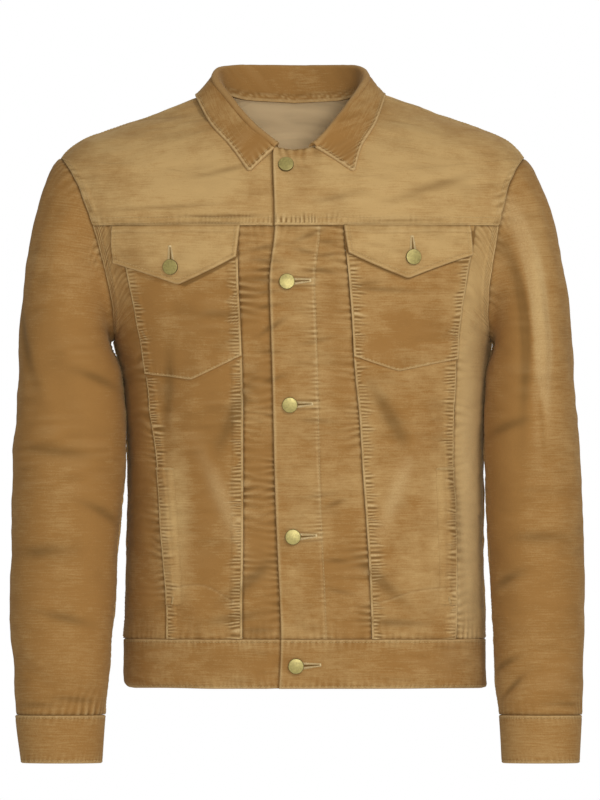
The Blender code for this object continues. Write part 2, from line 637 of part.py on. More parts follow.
def pocket_flap(side):
    columns = np.array(MID_COLUMNS)
    top = FRONT_YOKE_SEAM - SEAM_GAP / 2
    lower = point_line(columns, FLAP_CORNERS[side], FLAP_POINT[side])
    shares = np.array([1.0, 0.66, 0.33, 0.0])[:, None]
    height = top + (lower - top)[None, :] * shares
    edges = dict(zip(FLAP_EDGE_COLUMNS, FLAP_EDGES[side]))
    inner = edges["inner_top"] + (edges["inner_bottom"] - edges["inner_top"]) * shares
    outer = edges["outer_top"] + (edges["outer_bottom"] - edges["outer_top"]) * shares
    start, end = seam_angle(side, "inner", height), seam_angle(side, "outer", height)
    angle = start + (end - start) * (inner + (outer - inner) * columns[None, :])
    stack = SEAM_GAP + POCKET_CLOTH + FLAP_ROOM
    out = stack + CLOTH + FLAP_LIFT * shares + np.zeros_like(height)
    torso_wall(f"pocket_flap_{side}", angle, height, SUEDE_LIGHT, out=out)
    return stack + CLOTH + FLAP_LIFT * FLAP_BUTTON_SHARE


def hand_pocket_welt(side):
    angle, height = mid_grid(side)
    part = (slice(WELT_BOTTOM_ROW, WELT_TOP_ROW + 1), slice(WELT_FIRST_COLUMN, None))
    torso_wall(f"hand_pocket_welt_{side}", angle[part], height[part], SUEDE, thickness=POCKET_CLOTH,
               out=SEAM_GAP + POCKET_CLOTH)


# ---------------------------------------------------------------- sleeves
def sleeve_ring(side, height, bearing):
    """Points of a level section. The bearing is 0 at the inner side and a quarter turn at the front."""
    outer, inner = SLEEVE.read(f"outer_{side}", height), SLEEVE.read(f"inner_{side}", height)
    power = 2 / SLEEVE_ROUNDNESS
    across, forwards = np.cos(bearing), np.sin(bearing)
    x = (outer + inner) / 2 - (outer - inner) / 2 * np.sign(across) * np.abs(across) ** power
    depth = SLEEVE.read("half_depth", height) * np.sign(forwards) * np.abs(forwards) ** power
    return np.stack(np.broadcast_arrays(x, SLEEVE.read("middle_y", height) - depth, height), axis=-1)


def armhole_ring(side):
    """(points, torso normals, leaving directions) of the sleeve's seam, round from the armpit by the front."""
    steps = np.concatenate([np.arange(ARM_STEPS + 1), np.arange(ARM_STEPS - 1, 0, -1)])
    height = arm_height(steps)
    behind = np.arange(2 * ARM_STEPS) > ARM_STEPS
    angle = SIDES[side] * np.where(behind, armhole_angle(height, back=True), armhole_angle(height))
    points, normals = torso_surface(angle, height)
    centre = points.mean(axis=0)
    along = np.roll(points, -1, axis=0) - np.roll(points, 1, axis=0)
    into = unit(np.cross(along, normals))
    into *= np.sign(np.sum(into * (centre - points), axis=1))[:, None]
    share = steps / ARM_STEPS
    leaving = unit(normals * (1 - share + CAP_OUTWARD * share**3)[:, None] + into * (0.1 + 0.9 * share)[:, None])
    return points + into * SEAM_GAP, normals, leaving, share


def sleeve_grid(side):
    """(outer, inner) points of the whole sleeve tube, from the armhole down to the cuff's seam."""
    start, seam_normals, leaving, share = armhole_ring(side)
    bearing = np.pi * np.arange(2 * ARM_STEPS) / ARM_STEPS
    first = sleeve_ring(side, np.full(bearing.shape, SLEEVE_START), bearing)
    length = np.linalg.norm(first - start, axis=1)[:, None]
    lead = start + leaving * (CAP_LEAD_UNDER + CAP_LEAD_OVER * np.sqrt(share))[:, None]
    follow = first + np.array([0, 0, CAP_FOLLOW]) * length
    t = np.linspace(0, 1, CAP_STEPS + 1)[:, None, None]
    cap = (1 - t) ** 3 * start + 3 * t * (1 - t) ** 2 * lead + 3 * t**2 * (1 - t) * follow + t**3 * first
    levels = np.array(SLEEVE_ROWS_BELOW)[:, None]
    arm = sleeve_ring(side, np.broadcast_to(levels, (len(levels), len(bearing))), bearing[None, :])
    smooth = np.vstack([cap, arm])
    normals = -SIDES[side] * grid_normals(smooth, closed=True)
    around = np.broadcast_to(bearing * SLEEVE_MEAN_RADIUS, smooth.shape[:2])
    rise = fold_rise(SLEEVE_FOLDS[side], around, smooth[..., 2])
    rise[0] = 0
    outer = smooth + normals * rise[..., None]
    outer[-1] = smooth[-1]
    normals[0] = seam_normals
    return outer, outer - normals * CLOTH


def seam_in(grid, first, last):
    """The columns from first to last of a tube's grid, with half a seam's gap taken off each long edge."""
    columns = np.arange(first, last + 1) % grid.shape[1]
    part = grid[:, columns].copy()
    for edge, beside in ((0, 1), (-1, -2)):
        part[:, edge] += unit(part[:, beside] - part[:, edge]) * SEAM_GAP / 2
    return part


def sleeve(side):
    outer, inner = sleeve_grid(side)
    pieces = {"upper": (0, BACK_SLEEVE_SEAM), "under": (BACK_SLEEVE_SEAM, 2 * ARM_STEPS)}
    for piece, (first, last) in pieces.items():
        cloth_wall(f"sleeve_{piece}_{side}", seam_in(outer, first, last), seam_in(inner, first, last), SUEDE_DARK)


def cuff(side):
    """A band whose upper end laps over its lower one at the back of the wrist."""
    turns = np.linspace(0, 1, 27)
    lap = 0.30
    bearing = 1.60 * math.pi + turns * (2 * math.pi + lap)
    levels = np.array([CUFF_TOP - SEAM_GAP / 2, (CUFF_TOP + CUFF_BOTTOM) / 2, CUFF_BOTTOM])[:, None]
    levels = np.broadcast_to(levels, (3, len(bearing)))
    points = sleeve_ring(side, levels, np.broadcast_to(bearing, levels.shape))
    normals = -SIDES[side] * grid_normals(points)
    into = np.clip((bearing - bearing[0]) / lap, 0, 1)
    before_lap = (1 - into * into * (3 - 2 * into))[None, :, None]
    outer = points + normals * (BAND_PROUD - (DOUBLE + SEAM_GAP + CUFF_LAP_ROOM) * before_lap)
    cloth_wall(f"cuff_{side}", outer, outer - normals * DOUBLE, SUEDE)
    column = len(turns) - 2
    return outer[1, column], normals[1, column]


# ---------------------------------------------------------------- buttons
def button(name, centre, normal):
    """A turned brass button with a raised rim, lying just off the cloth."""
    profile = ((0.0, 0.0024), (0.0050, 0.0024), (0.0066, 0.0021), (0.0074, 0.0028), (0.0085, 0.0025),
               (BUTTON_RADIUS, 0.0016), (0.0078, 0.0002), (0.0, 0.0))
    mesh = bpy.data.meshes.new(name)
    mesh.from_pydata([(radius, 0, height) for radius, height in profile],
                     [(i, i + 1) for i in range(len(profile) - 1)], [])
    made = add_object(name, mesh, BRASS, roughness=0.38, metallic=1.0)
    screw = made.modifiers.new("turned", "SCREW")
    screw.steps = screw.render_steps = 14
    screw.use_merge_vertices = True
    screw.merge_threshold = 0.0001
    axis = unit(np.asarray(normal))
    made.rotation_euler = (math.acos(axis[2]), 0, math.atan2(axis[0], -axis[1]))
    made.location = np.asarray(centre) + axis * SEAM_GAP


def torso_button(name, height, x, out):
    angle = angle_of(x, height)
    point, normal = torso_surface(angle, np.asarray(height))
    button(name, point + normal * out, normal)


# ---------------------------------------------------------------- the whole jacket
def clear_scene():
    for old in list(bpy.data.objects):
        bpy.data.objects.remove(old, do_unlink=True)


def build():
    for side in SIDES:
        front_yoke(side)
        centre_panel(side)
        mid_panel(side)
        side_panel(side)
        back_side(side)
        chest_pocket(side)
        hand_pocket_welt(side)
        flap_out = pocket_flap(side)
        torso_button(f"flap_button_{side}", *FLAP_BUTTONS[side], flap_out)
        sleeve(side)
        button(f"cuff_button_{side}", *cuff(side))
    back_centre()
    back_yoke()
    back_facing()
    waistband()
    collar()
    for number, (height, x) in enumerate(FRONT_BUTTONS, start=1):
        on_band = BAND_PROUD if height < WAIST_SEAM else 0.0
        torso_button(f"front_button_{number}", height, x, on_band)


clear_scene()
JACKET = bpy.data.collections.new("trucker_jacket")
bpy.context.scene.collection.children.link(JACKET)
build()
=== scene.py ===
"""The looks of a napped suede trucker jacket in the hollow form it takes when it is worn.

Every cloth piece is a fine closed wall on the same surface as its solid in the frame. On it lie the seams,
with their folded edges, rows of stitches and puckers, and the creases, which are listed in tables.
Metres, +Z up. The front faces -Y and +X is the wearer's left.
"""

import math

import bmesh
import bpy
import numpy as np
from mathutils import Matrix, Vector


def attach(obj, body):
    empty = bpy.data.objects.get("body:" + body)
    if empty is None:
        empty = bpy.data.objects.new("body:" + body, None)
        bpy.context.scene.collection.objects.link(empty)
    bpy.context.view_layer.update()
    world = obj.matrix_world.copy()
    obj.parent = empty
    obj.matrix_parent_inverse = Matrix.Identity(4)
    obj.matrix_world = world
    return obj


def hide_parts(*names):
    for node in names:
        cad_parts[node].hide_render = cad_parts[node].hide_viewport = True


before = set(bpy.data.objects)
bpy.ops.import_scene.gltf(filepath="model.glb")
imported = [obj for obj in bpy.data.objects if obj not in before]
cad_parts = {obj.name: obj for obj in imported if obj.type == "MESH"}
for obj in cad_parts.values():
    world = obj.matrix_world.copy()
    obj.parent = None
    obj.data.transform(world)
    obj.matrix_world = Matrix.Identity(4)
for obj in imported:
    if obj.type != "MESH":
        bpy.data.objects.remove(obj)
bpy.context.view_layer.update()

bl_info = {
    "name": "Suede Trucker Jacket",
    "version": (1, 0, 0),
    "blender": (4, 5, 0),
    "location": "View3D > Sidebar > Jacket",
    "description": "Builds the cloth, stitching, buttons and studio of a suede trucker jacket",
    "category": "Add Mesh",
}

SIDES = {"right": -1, "left": 1}

# ---------------------------------------------------------------- the jacket's sizes, as its solids have them
SEAM_GAP = 0.0003
POCKET_CLOTH = 0.0014
WAIST_SEAM = -0.562
HEM = -0.614
ARM_TOP = -0.058
ARM_BOTTOM = -0.250
NECK_SIDE = 0.014
ARM_STEPS = 12
FRONT_YOKE_STEP = 7
BACK_YOKE_STEP = 6

TORSO_COLUMNS = ("height", "centre_x", "half_width", "front_depth", "back_depth", "roundness")
TORSO_ROWS = (
    (0.014, -0.0060, 0.074, 0.016, 0.050, 2.00),
    (0.008, -0.0040, 0.092, 0.024, 0.058, 2.00),
    (0.000, -0.0020, 0.116, 0.035, 0.066, 2.00),
    (-0.014, -0.0010, 0.152, 0.053, 0.079, 2.00),
    (-0.030, -0.0010, 0.199, 0.072, 0.094, 2.08),
    (-0.039, -0.0025, 0.221, 0.0790, 0.1000, 2.16),
    (-0.047, -0.0035, 0.2325, 0.0850, 0.1050, 2.25),
    (-0.056, -0.0045, 0.2410, 0.0910, 0.1095, 2.33),
    (-0.064, -0.0045, 0.2455, 0.0957, 0.1128, 2.39),
    (-0.080, -0.0040, 0.2485, 0.1040, 0.1178, 2.45),
    (-0.100, -0.0028, 0.2475, 0.1110, 0.1228, 2.47),
    (-0.128, -0.0010, 0.2385, 0.1180, 0.1270, 2.45),
    (-0.185, 0.0020, 0.218, 0.124, 0.130, 2.42),
    (-0.250, 0.0050, 0.197, 0.127, 0.127, 2.40),
    (-0.300, 0.0080, 0.190, 0.125, 0.122, 2.40),
    (-0.374, 0.0090, 0.1865, 0.118, 0.114, 2.40),
    (-0.460, 0.0085, 0.1865, 0.113, 0.108, 2.40),
    (-0.522, 0.0080, 0.188, 0.111, 0.106, 2.40),
    (-0.562, 0.0080, 0.1895, 0.110, 0.105, 2.35),
    (-0.614, 0.0085, 0.1900, 0.106, 0.102, 2.30),
)
FRONT_COLUMNS = ("height", "edge", "inner_right", "inner_left", "outer_right", "outer_left")
FRONT_ROWS = (
    (-0.045, -0.0265, -0.063, 0.048, -0.190, 0.188),
    (-0.129, -0.0235, -0.062, 0.049, -0.187, 0.186),
    (-0.187, -0.0290, -0.061, 0.054, -0.176, 0.177),
    (-0.226, -0.0280, -0.059, 0.057, -0.168, 0.171),
    (-0.281, -0.0262, -0.057, 0.060, -0.159, 0.167),
    (-0.332, -0.0250, -0.056, 0.065, -0.154, 0.166),
    (-0.382, -0.0240, -0.056, 0.068, -0.148, 0.166),
    (-0.454, -0.0215, -0.056, 0.073, -0.142, 0.167),
    (-0.526, -0.0180, -0.057, 0.077, -0.137, 0.167),
    (-0.562, -0.0170, -0.057, 0.078, -0.137, 0.167),
    (-0.614, -0.0190, -0.057, 0.078, -0.137, 0.167),
)
UNDERLAP = 0.041
PLACKET_STITCH = 0.0475  # from the buttonhole edge to the facing's row of stitches
UNDERARM = -0.262
POCKET_BAG_FOOT = -0.524  # where the hand pocket's bag starts, at the inner seam
POCKET_BAG_RISE = 0.016
POCKET_BAG_BOW = {"right": 0.010, "left": 0.004}
LAP_START = 0.014
LAP_RAMP = 0.012
BAND_PROUD = 0.0006
CUFF_LAP_ROOM = 0.0006
LAP_ROOM = 0.0003
BACK_SEAM_TOP = 0.098
BACK_SEAM_BOTTOM = 0.062
ARMHOLE_FORWARD = 17.5
ARMHOLE_BACKWARD = 18.5
ARMHOLE_POWERS = (2.6, 2.2)  # the roundness of the armhole's oval

SLEEVE_COLUMNS = ("height", "outer_right", "inner_right", "outer_left", "inner_left", "middle_y",
                  "half_depth")
SLEEVE_ROWS = (
    (-0.290, -0.2925, -0.1832, 0.2900, 0.1982, -0.026, 0.070),
    (-0.330, -0.2950, -0.1801, 0.2940, 0.1965, -0.031, 0.069),
    (-0.374, -0.2980, -0.1792, 0.2965, 0.1965, -0.034, 0.066),
    (-0.416, -0.2985, -0.1827, 0.2990, 0.1985, -0.037, 0.063),
    (-0.460, -0.2995, -0.1870, 0.3000, 0.2016, -0.040, 0.060),
    (-0.522, -0.3005, -0.1910, 0.2995, 0.2040, -0.045, 0.057),
    (-0.562, -0.2990, -0.1943, 0.2995, 0.2063, -0.048, 0.055),
    (-0.600, -0.2955, -0.1974, 0.2993, 0.2084, -0.051, 0.052),
    (-0.641, -0.2945, -0.2010, 0.2980, 0.2120, -0.055, 0.048),
    (-0.692, -0.2885, -0.2045, 0.2955, 0.2150, -0.060, 0.043),
)
SLEEVE_START = -0.290
SLEEVE_END = -0.6412
CAP_LEAD_UNDER = 0.009
CAP_LEAD_OVER = 0.017
CAP_OUTWARD = 0.65
CAP_FOLLOW = 0.42
CUFF_TOP = -0.6415
CUFF_BOTTOM = -0.692
SLEEVE_ROUNDNESS = 2.15
BACK_SLEEVE_SEAM = 18

COLLAR_COLUMNS = ("along", "neck_angle", "roll_x", "roll_y", "roll_z", "roll_shift",
                  "edge_x", "edge_y", "edge_z", "edge_shift")
COLLAR_ROWS = (
    (0.00, 180.0, 0.000, 0.069, 0.0400, 0.000, 0.000, 0.090, -0.004, 0.000),
    (0.20, 142.0, 0.046, 0.058, 0.0405, 0.000, 0.060, 0.078, -0.003, 0.000),
    (0.36, 112.0, 0.071, 0.034, 0.0385, 0.000, 0.091, 0.040, 0.006, 0.000),
    (0.52, 82.0, 0.078, -0.001, 0.0290, 0.000, 0.100, -0.008, 0.0075, 0.000),
    (0.68, 55.0, 0.061, -0.043, 0.0035, 0.001, 0.086, -0.060, -0.024, 0.003),
    (0.84, 30.0, 0.038, -0.072, -0.0240, 0.003, 0.069, -0.082, -0.047, 0.006),
    (1.00, 11.0, 0.018, -0.088, -0.0425, 0.006, 0.055, -0.096, -0.077, 0.012),
)
COLLAR_CENTRE_X = -0.0070
NECK_MIDDLE = np.array([COLLAR_CENTRE_X, -0.010, 0.020])
COLLAR_FOLD_RADIUS = 0.0030
COLLAR_SEAM_ROOM = 0.0012
STAND_DROP = 0.0032
COLLAR_CLEARANCE = 0.0006
COLLAR_STITCH = 0.0023
NECK_COLUMNS = ("angle", "height")
NECK_ROWS = ((0.0, -0.0495), (14.0, -0.0465), (30.0, -0.0320), (51.0, -0.013), (70.0, 0.003),
             (90.0, NECK_SIDE), (112.0, 0.011), (140.0, 0.005), (180.0, 0.002))

# Each button's (height, x).
FRONT_BUTTONS = ((-0.066, -0.0115), (-0.188, -0.0105), (-0.317, -0.0074), (-0.455, -0.0042),
                 (-0.590, -0.0010))
FLAP_BUTTONS = {"right": (-0.1727, -0.1306), "left": (-0.1625, 0.1204)}
FLAP_EDGE_COLUMNS = ("inner_top", "inner_bottom", "outer_top", "outer_bottom")
FLAP_EDGES = {"right": (-0.026, 0.020, 1.040, 1.085), "left": (0.000, 0.025, 0.965, 1.000)}
FLAP_ROOM = 0.0005
FLAP_LIFT = 0.0012
FLAP_BUTTON_SHARE = 0.7
FLAP_STITCH_IN = 0.0050
FLAP_POINT = {"right": (0.524, -0.1915), "left": (0.533, -0.1850)}
FLAP_CORNERS = {"right": (-0.162, -0.168), "left": (-0.158, -0.160)}
POCKET_POINT = {"right": (0.53, -0.291), "left": (0.45, -0.282)}
POCKET_CORNERS = {"right": (-0.2650, -0.2845), "left": (-0.2660, -0.2690)}
WELT_HEIGHTS = (-0.526, -0.382)
WELT_INNER_SHARE = 0.79

# The tables of folds, creases and nap are in millimetres. Leans are radians, and amounts of nap are shares.
FOLD_COLUMNS = ("around", "height", "lean", "half_length", "half_width", "rise")
TORSO_MEAN_RADIUS = 0.165
TORSO_FOLDS = (
    (-170, -330, 0.35, 70, 16, -3),
    (-150, -520, -0.45, 50, 14, 2.5),
    (172, -340, -0.30, 75, 16, -3),
    (160, -500, 0.35, 60, 15, 2.2),
    (360, -270, -0.50, 85, 18, -3.5),
    (-360, -270, 0.50, 85, 18, -3.5),
    (395, -450, 0.20, 80, 20, 3),
    (-395, -470, -0.20, 80, 20, 3),
    (470, -230, 0.10, 70, 22, -2),
)
SLEEVE_MEAN_RADIUS = 0.060
SLEEVE_FOLDS = {
    "right": (
        (75, -345, 1.20, 50, 13, -3.2),
        (60, -395, 1.35, 42, 12, -2.8),
        (105, -300, 0.30, 70, 15, -2.5),
        (130, -600, 1.10, 45, 12, -2.2),
        (300, -420, 1.20, 60, 16, -3.4),
        (290, -330, 0.60, 70, 17, -3),
        (215, -500, 0.20, 90, 22, 2),
    ),
    "left": (
        (120, -230, 0.10, 100, 14, -3),
        (70, -390, 1.25, 45, 13, -2.8),
        (90, -430, 1.35, 50, 12, -2.4),
        (50, -610, 1.10, 35, 11, -2.8),
        (300, -400, 1.20, 60, 16, -3.4),
        (295, -310, 0.60, 70, 17, -3),
        (200, -520, -0.20, 90, 22, 2),
    ),
}

# ---------------------------------------------------------------- what shows only from a step nearer
# Creases on the fronts and back, as folds: soft troughs (-) and ridges (+) pressed into the cloth by wear.
CREASES = (
    (-150, -110, 1.50, 45, 1.8, -0.7),
    (-108, -119.5, 1.56, 32, 1.3, -1.4),
    (-104, -126.2, 1.58, 34, 1.1, -1.2),
    (-75, -119, 1.52, 28, 1.8, -0.9),
    (-72, -116, 1.60, 22, 1.6, 0.7),
    (-100, -70, 1.35, 40, 3.5, -0.6),
    (131, -123.2, 1.55, 36, 1.3, -1.4),
    (130, -121, 1.54, 40, 1.6, 0.7),
    (60, -100, 1.45, 24, 2.8, -0.6),
    (165, -88, 1.20, 32, 4, -0.7),
    (-45, -152, 1.45, 16, 2.2, -1.1),
    (-44, -166, 1.62, 18, 2.2, -1.2),
    (-46, -176, 1.50, 18, 2, -1),
    (-42, -187, 1.66, 16, 2.2, -1.2),
    (-45, -199, 1.50, 16, 2.4, -0.9),
    (-43, -214, 1.40, 15, 2.4, -1),
    (-40, -236, 1.10, 17, 3, -1.2),
    (-43, -262, 1.55, 14, 2.2, -0.8),
    (-41, -290, 1.30, 16, 2.8, -0.9),
    (16, -140, 1.30, 20, 2.8, -0.9),
    (10, -156, 1.75, 18, 2.6, -0.8),
    (22, -176, 1.50, 18, 2.4, -0.9),
    (40, -146, 1.62, 14, 2.2, -0.8),
    (42, -160, 1.48, 14, 2.2, -0.9),
    (40, -178, 1.66, 14, 2.4, -0.8),
    (20, -250, 1.40, 20, 3, -0.7),
    (14, -334, 1.62, 24, 2.6, -0.7),
    (20, -412, 1.48, 22, 3, -0.6),
    (44, -420, 1.30, 14, 2.8, -0.8),
    (48, -480, 1.60, 18, 2.8, -0.8),
    (52, -512, 1.72, 18, 2.6, -0.7),
    (-100, -222, 1.55, 30, 5, -0.8),
    (100, -196, 1.62, 38, 3, -0.9),
    (85, -190, 1.50, 18, 2.4, -0.7),
    (-95, -330, 0.55, 40, 8, -1.2),
    (-110, -420, -0.40, 50, 9, 1.2),
    (-80, -500, 1.00, 34, 7, -1.2),
    (-100, -540, 1.45, 30, 5, -1),
    (-75, -553, 1.58, 22, 3.6, -0.9),
    (110, -330, -0.60, 38, 8, -1.2),
    (120, -410, 0.35, 50, 9, 1.1),
    (105, -500, -0.90, 34, 7, -1.2),
    (125, -545, 1.60, 34, 4, -1),
    (-165, -300, 0.20, 40, 6, -1.2),
    (190, -430, -0.15, 60, 7, -1.2),
    (190, -530, 0.10, 40, 6, 1),
    (420, -190, 1.50, 60, 6, -1),
    (-430, -200, 1.62, 55, 6, -1),
    (500, -330, 1.20, 50, 7, -1.2),
    (-480, -380, 1.90, 55, 7, -1.2),
    (450, -520, 1.55, 60, 5, -1.2),
    (-440, -535, 1.60, 50, 5, -1.2),
    (330, -400, 0.90, 45, 8, -1.3),
    (-330, -420, 2.20, 45, 8, -1.3),
)
SLEEVE_CREASES = {
    "right": (
        (60, -290, 1.25, 28, 5, -1.2),
        (110, -365, 1.45, 34, 6, -1.1),
        (50, -430, 1.20, 30, 5, -1.2),
        (120, -470, 1.60, 34, 7, -1),
        (90, -540, 1.35, 30, 5, -1),
        (75, -625, 1.50, 28, 3, -1),
        (130, -631, 1.58, 30, 2.8, -0.9),
        (160, -250, 0.50, 50, 7, -1.2),
        (270, -470, 1.30, 40, 6, -1.3),
        (280, -380, 1.50, 45, 6, -1.3),
    ),
    "left": (
        (116, -225, 0.08, 85, 9.5, 4.6),
        (92, -235, 0.08, 85, 7, -1.6),
        (106, -320, -0.05, 40, 5, -1.2),
        (60, -340, 1.30, 30, 5, -1.2),
        (100, -455, 1.55, 34, 6, -1),
        (50, -500, 1.25, 26, 5, -1.2),
        (40, -588, 1.30, 24, 3.6, -1.4),
        (50, -612, 1.10, 22, 3, -1.4),
        (130, -630, 1.58, 30, 2.8, -0.9),
        (270, -450, 1.30, 40, 6, -1.3),
        (280, -360, 1.50, 45, 6, -1.3),
    ),
}
# Places where the nap lies lighter (+) or darker (-).
NAP_COLUMNS = ("x", "height", "half_wide", "half_high", "amount")
FRONT_NAP = (
    (-110, -75, 90, 50, 0.30),
    (110, -80, 100, 50, 0.34),
    (-47, -95, 16, 22, -0.16),
    (10, -85, 14, 20, -0.12),
    (4, -53.5, 22, 5, -0.50),
    (-128, -150, 60, 22, 0.16),
    (120, -145, 62, 20, 0.20),
    (-100, -245, 45, 40, -0.24),
    (110, -235, 48, 36, -0.16),
    (-100, -350, 45, 50, -0.14),
    (-110, -440, 40, 40, 0.10),
    (-85, -480, 30, 60, -0.10),
    (105, -330, 45, 45, -0.10),
    (120, -450, 45, 60, 0.08),
    (178, -420, 14, 140, 0.40),
    (184, -230, 20, 90, 0.30),
    (-165, -380, 18, 160, -0.32),
    (-126, -440, 14, 70, 0.58),
    (-94, -430, 18, 85, -0.24),
    (-84, -300, 16, 50, -0.16),
    (78, -350, 14, 60, 0.18),
    (150, -430, 10, 110, 0.30),
    (50, -490, 24, 75, -0.34),
    (52, -270, 16, 60, -0.12),
    (-30, -470, 20, 80, -0.16),
    (-158, -250, 22, 70, -0.20),
    (-30, -420, 20, 110, -0.10),
    (35, -230, 14, 60, -0.12),
    (10, -590, 20, 20, -0.12),
    (-100, -590, 70, 24, -0.14),
    (130, -590, 80, 24, -0.04),
)
FADED_SIDE = ((182, -420, 14, 170, 1.0),)
COLLAR_NAP = (
    (-75, -15, 30, 30, 0.14),
    (-60, -60, 20, 16, -0.20),
    (70, -20, 34, 26, 0.10),
    (45, -55, 22, 20, -0.24),
)
SLEEVE_NAP = {
    "right": (
        (-235, -150, 40, 70, 0.02),
        (-240, -290, 50, 80, -0.20),
        (-280, -380, 22, 140, -0.10),
        (-215, -400, 20, 120, -0.22),
        (-245, -520, 40, 80, -0.06),
        (-245, -665, 50, 30, -0.10),
    ),
    "left": (
        (235, -150, 40, 70, 0.20),
        # Painted shade beside the left sleeve's long ridge, and painted highlight along it.
        (232, -250, 14, 90, -0.38),
        (252, -215, 8, 75, 0.38),
        (275, -320, 30, 120, 0.10),
        (218, -420, 18, 110, -0.30),
        (265, -520, 40, 90, -0.08),
        (240, -665, 50, 30, 0.04),
    ),
}

# The fine cloth's steps: near its edges, and in its middle. A pair names both.
FINE = 0.0009
COARSE = 0.0030
BACK_STEPS = (0.0014, 0.0021)
PLACKET_STEPS = (0.0011, 0.0019)
MID_SPACING = (0.100, 0.0011, 0.0030)  # after the panel's width
BORDER = 0.013  # how far the edges' fine steps reach
INNER_STEP = 4  # fine steps for each step of the inner skin

# How the seams are sewn.
FELL_WIDTH = 0.0100
FELL_RISE = 0.0008
STITCH_IN = 0.0021
RUNG_SPACING = 0.0037
GATHER_SPACING = 0.0085
FRONT_LAP_SPARE = 0.0006
BAND_LAP_SPARE = 0.0008

# How the cloth is marked: what is painted pale, partly for wear and partly as painted highlight, what gets
# painted shade, and how the nap lies.
WEAR_SHADE_AND_NAP_MARKS = ("wear_and_highlight", "shade", "nap")
INSIDE_MARK_SHARE = 0.2  # share of the marks on the inner skin
MID_TONE = {"right": 0.16, "left": 0.26}

# Turned and stitched edges: the puckers' spacing and how fast they die out from the fold, then how much they
# rise, how pale their crests are painted, partly for wear and partly as painted highlight, and how much
# painted shade lies in their troughs; then the stitched groove, the line of painted shade beside it, and the
# fold, painted pale the same way.
EDGE_COLUMNS = ("spacing", "begins", "dies_in", "pucker", "pucker_wear_and_highlight", "pucker_shade",
                "stitch_in", "groove", "groove_width", "line_in", "line_shade", "line_width",
                "fold_in", "fold_wear_and_highlight", "fold_width")
EDGE_KINDS = {
    "collar": (0.0062, 0.003, 0.004, 0.00034, 0.65, 0.50,
               0.0042, 0.00028, 0.0008, 0.0036, 0.35, 0.0010, 0.0008, 1.00, 0.0012),
    "waistband": (0.0068, 0.002, 0.006, 0.00034, 0.34, 0.30,
                  0.0030, 0.00026, 0.0008, 0.0030, 0.20, 0.0008, 0.0012, 0.55, 0.0010),
    "cuff": (0.0062, 0.002, 0.005, 0.0003, 0.30, 0.26,
             0.0030, 0.00026, 0.0008, 0.0030, 0.20, 0.0008, 0.0012, 0.55, 0.0010),
    "chest_pocket": (0.0060, 0.002, 0.004, 0.00016, 0.20, 0.0,
                     0.0024, 0.00022, 0.0007, 0.0024, 0.0, 0.0007, 0.0010, 0.20, 0.0010),
}


# ---------------------------------------------------------------- reading the tables
def smooth_read(keys, values, at):
    """Values between the rows of a table, on a curve that has no bumps of its own."""
    at = np.clip(at, keys[0], keys[-1])
    steps = np.diff(keys)
    rises = np.diff(values) / steps
    slopes = np.empty_like(values)
    slopes[0], slopes[-1] = rises[0], rises[-1]
    product = rises[:-1] * rises[1:]
    total = np.where(product > 0, rises[:-1] + rises[1:], 1.0)
    slopes[1:-1] = np.where(product > 0, 2 * product / total, 0.0)
    i = np.clip(np.searchsorted(keys, at, side="right") - 1, 0, len(keys) - 2)
    t = (at - keys[i]) / steps[i]
    start = (1 + 2 * t) * (1 - t) ** 2 * values[i] + t * (1 - t) ** 2 * steps[i] * slopes[i]
    end = t**2 * (3 - 2 * t) * values[i + 1] + t**2 * (t - 1) * steps[i] * slopes[i + 1]
    return start + end


class Table:
    """A short table with named columns, read smoothly by its first column."""

    def __init__(self, columns, rows):
        ordered = sorted(rows)
        self.columns = {name: np.array(column, float) for name, column in zip(columns, zip(*ordered))}
        self.keys = self.columns[columns[0]]

    def read(self, name, at):
        return smooth_read(self.keys, self.columns[name], np.asarray(at, float))


TORSO = Table(TORSO_COLUMNS, TORSO_ROWS)
FRONT = Table(FRONT_COLUMNS, FRONT_ROWS)
SLEEVE = Table(SLEEVE_COLUMNS, SLEEVE_ROWS)
COLLAR = Table(COLLAR_COLUMNS, COLLAR_ROWS)
NECK = Table(NECK_COLUMNS, NECK_ROWS)


def in_metres(columns, row):
    """A row of a table in millimetres, by the names of its columns."""
    return {name: value if name in ("lean", "amount") else value / 1000 for name, value in zip(columns, row)}


def fold_rise(folds, around, height):
    """How far the folds lift the cloth at a place on it."""
    rise = np.zeros(np.broadcast(around, height).shape)
    for fold in folds:
        row = in_metres(FOLD_COLUMNS, fold)
        across, up = around - row["around"], height - row["height"]
        cosine, sine = math.cos(row["lean"]), math.sin(row["lean"])
        along = (up * cosine + across * sine) / row["half_length"]
        off = (across * cosine - up * sine) / row["half_width"]
        rise += row["rise"] * np.exp(-(along**2) - off**2)
    return rise


def nap_of(patches, x, height):
    """How much lighter or darker the nap lies at a place."""
    amount = np.zeros(np.broadcast(x, height).shape)
    for patch in patches:
        row = in_metres(NAP_COLUMNS, patch)
        away = ((x - row["x"]) / row["half_wide"]) ** 2 + ((height - row["height"]) / row["half_high"]) ** 2
        amount += row["amount"] * np.exp(-(away**1.2))
    return amount


# ---------------------------------------------------------------- small shapes of numbers
LATTICE = 64


def ease(share):
    share = np.clip(share, 0, 1)
    return share * share * (3 - 2 * share)


def bell(distance, half_width):
    return np.exp(-((distance / half_width) ** 2))


def unit(vectors):
    return vectors / np.maximum(np.linalg.norm(vectors, axis=-1, keepdims=True), 1e-12)


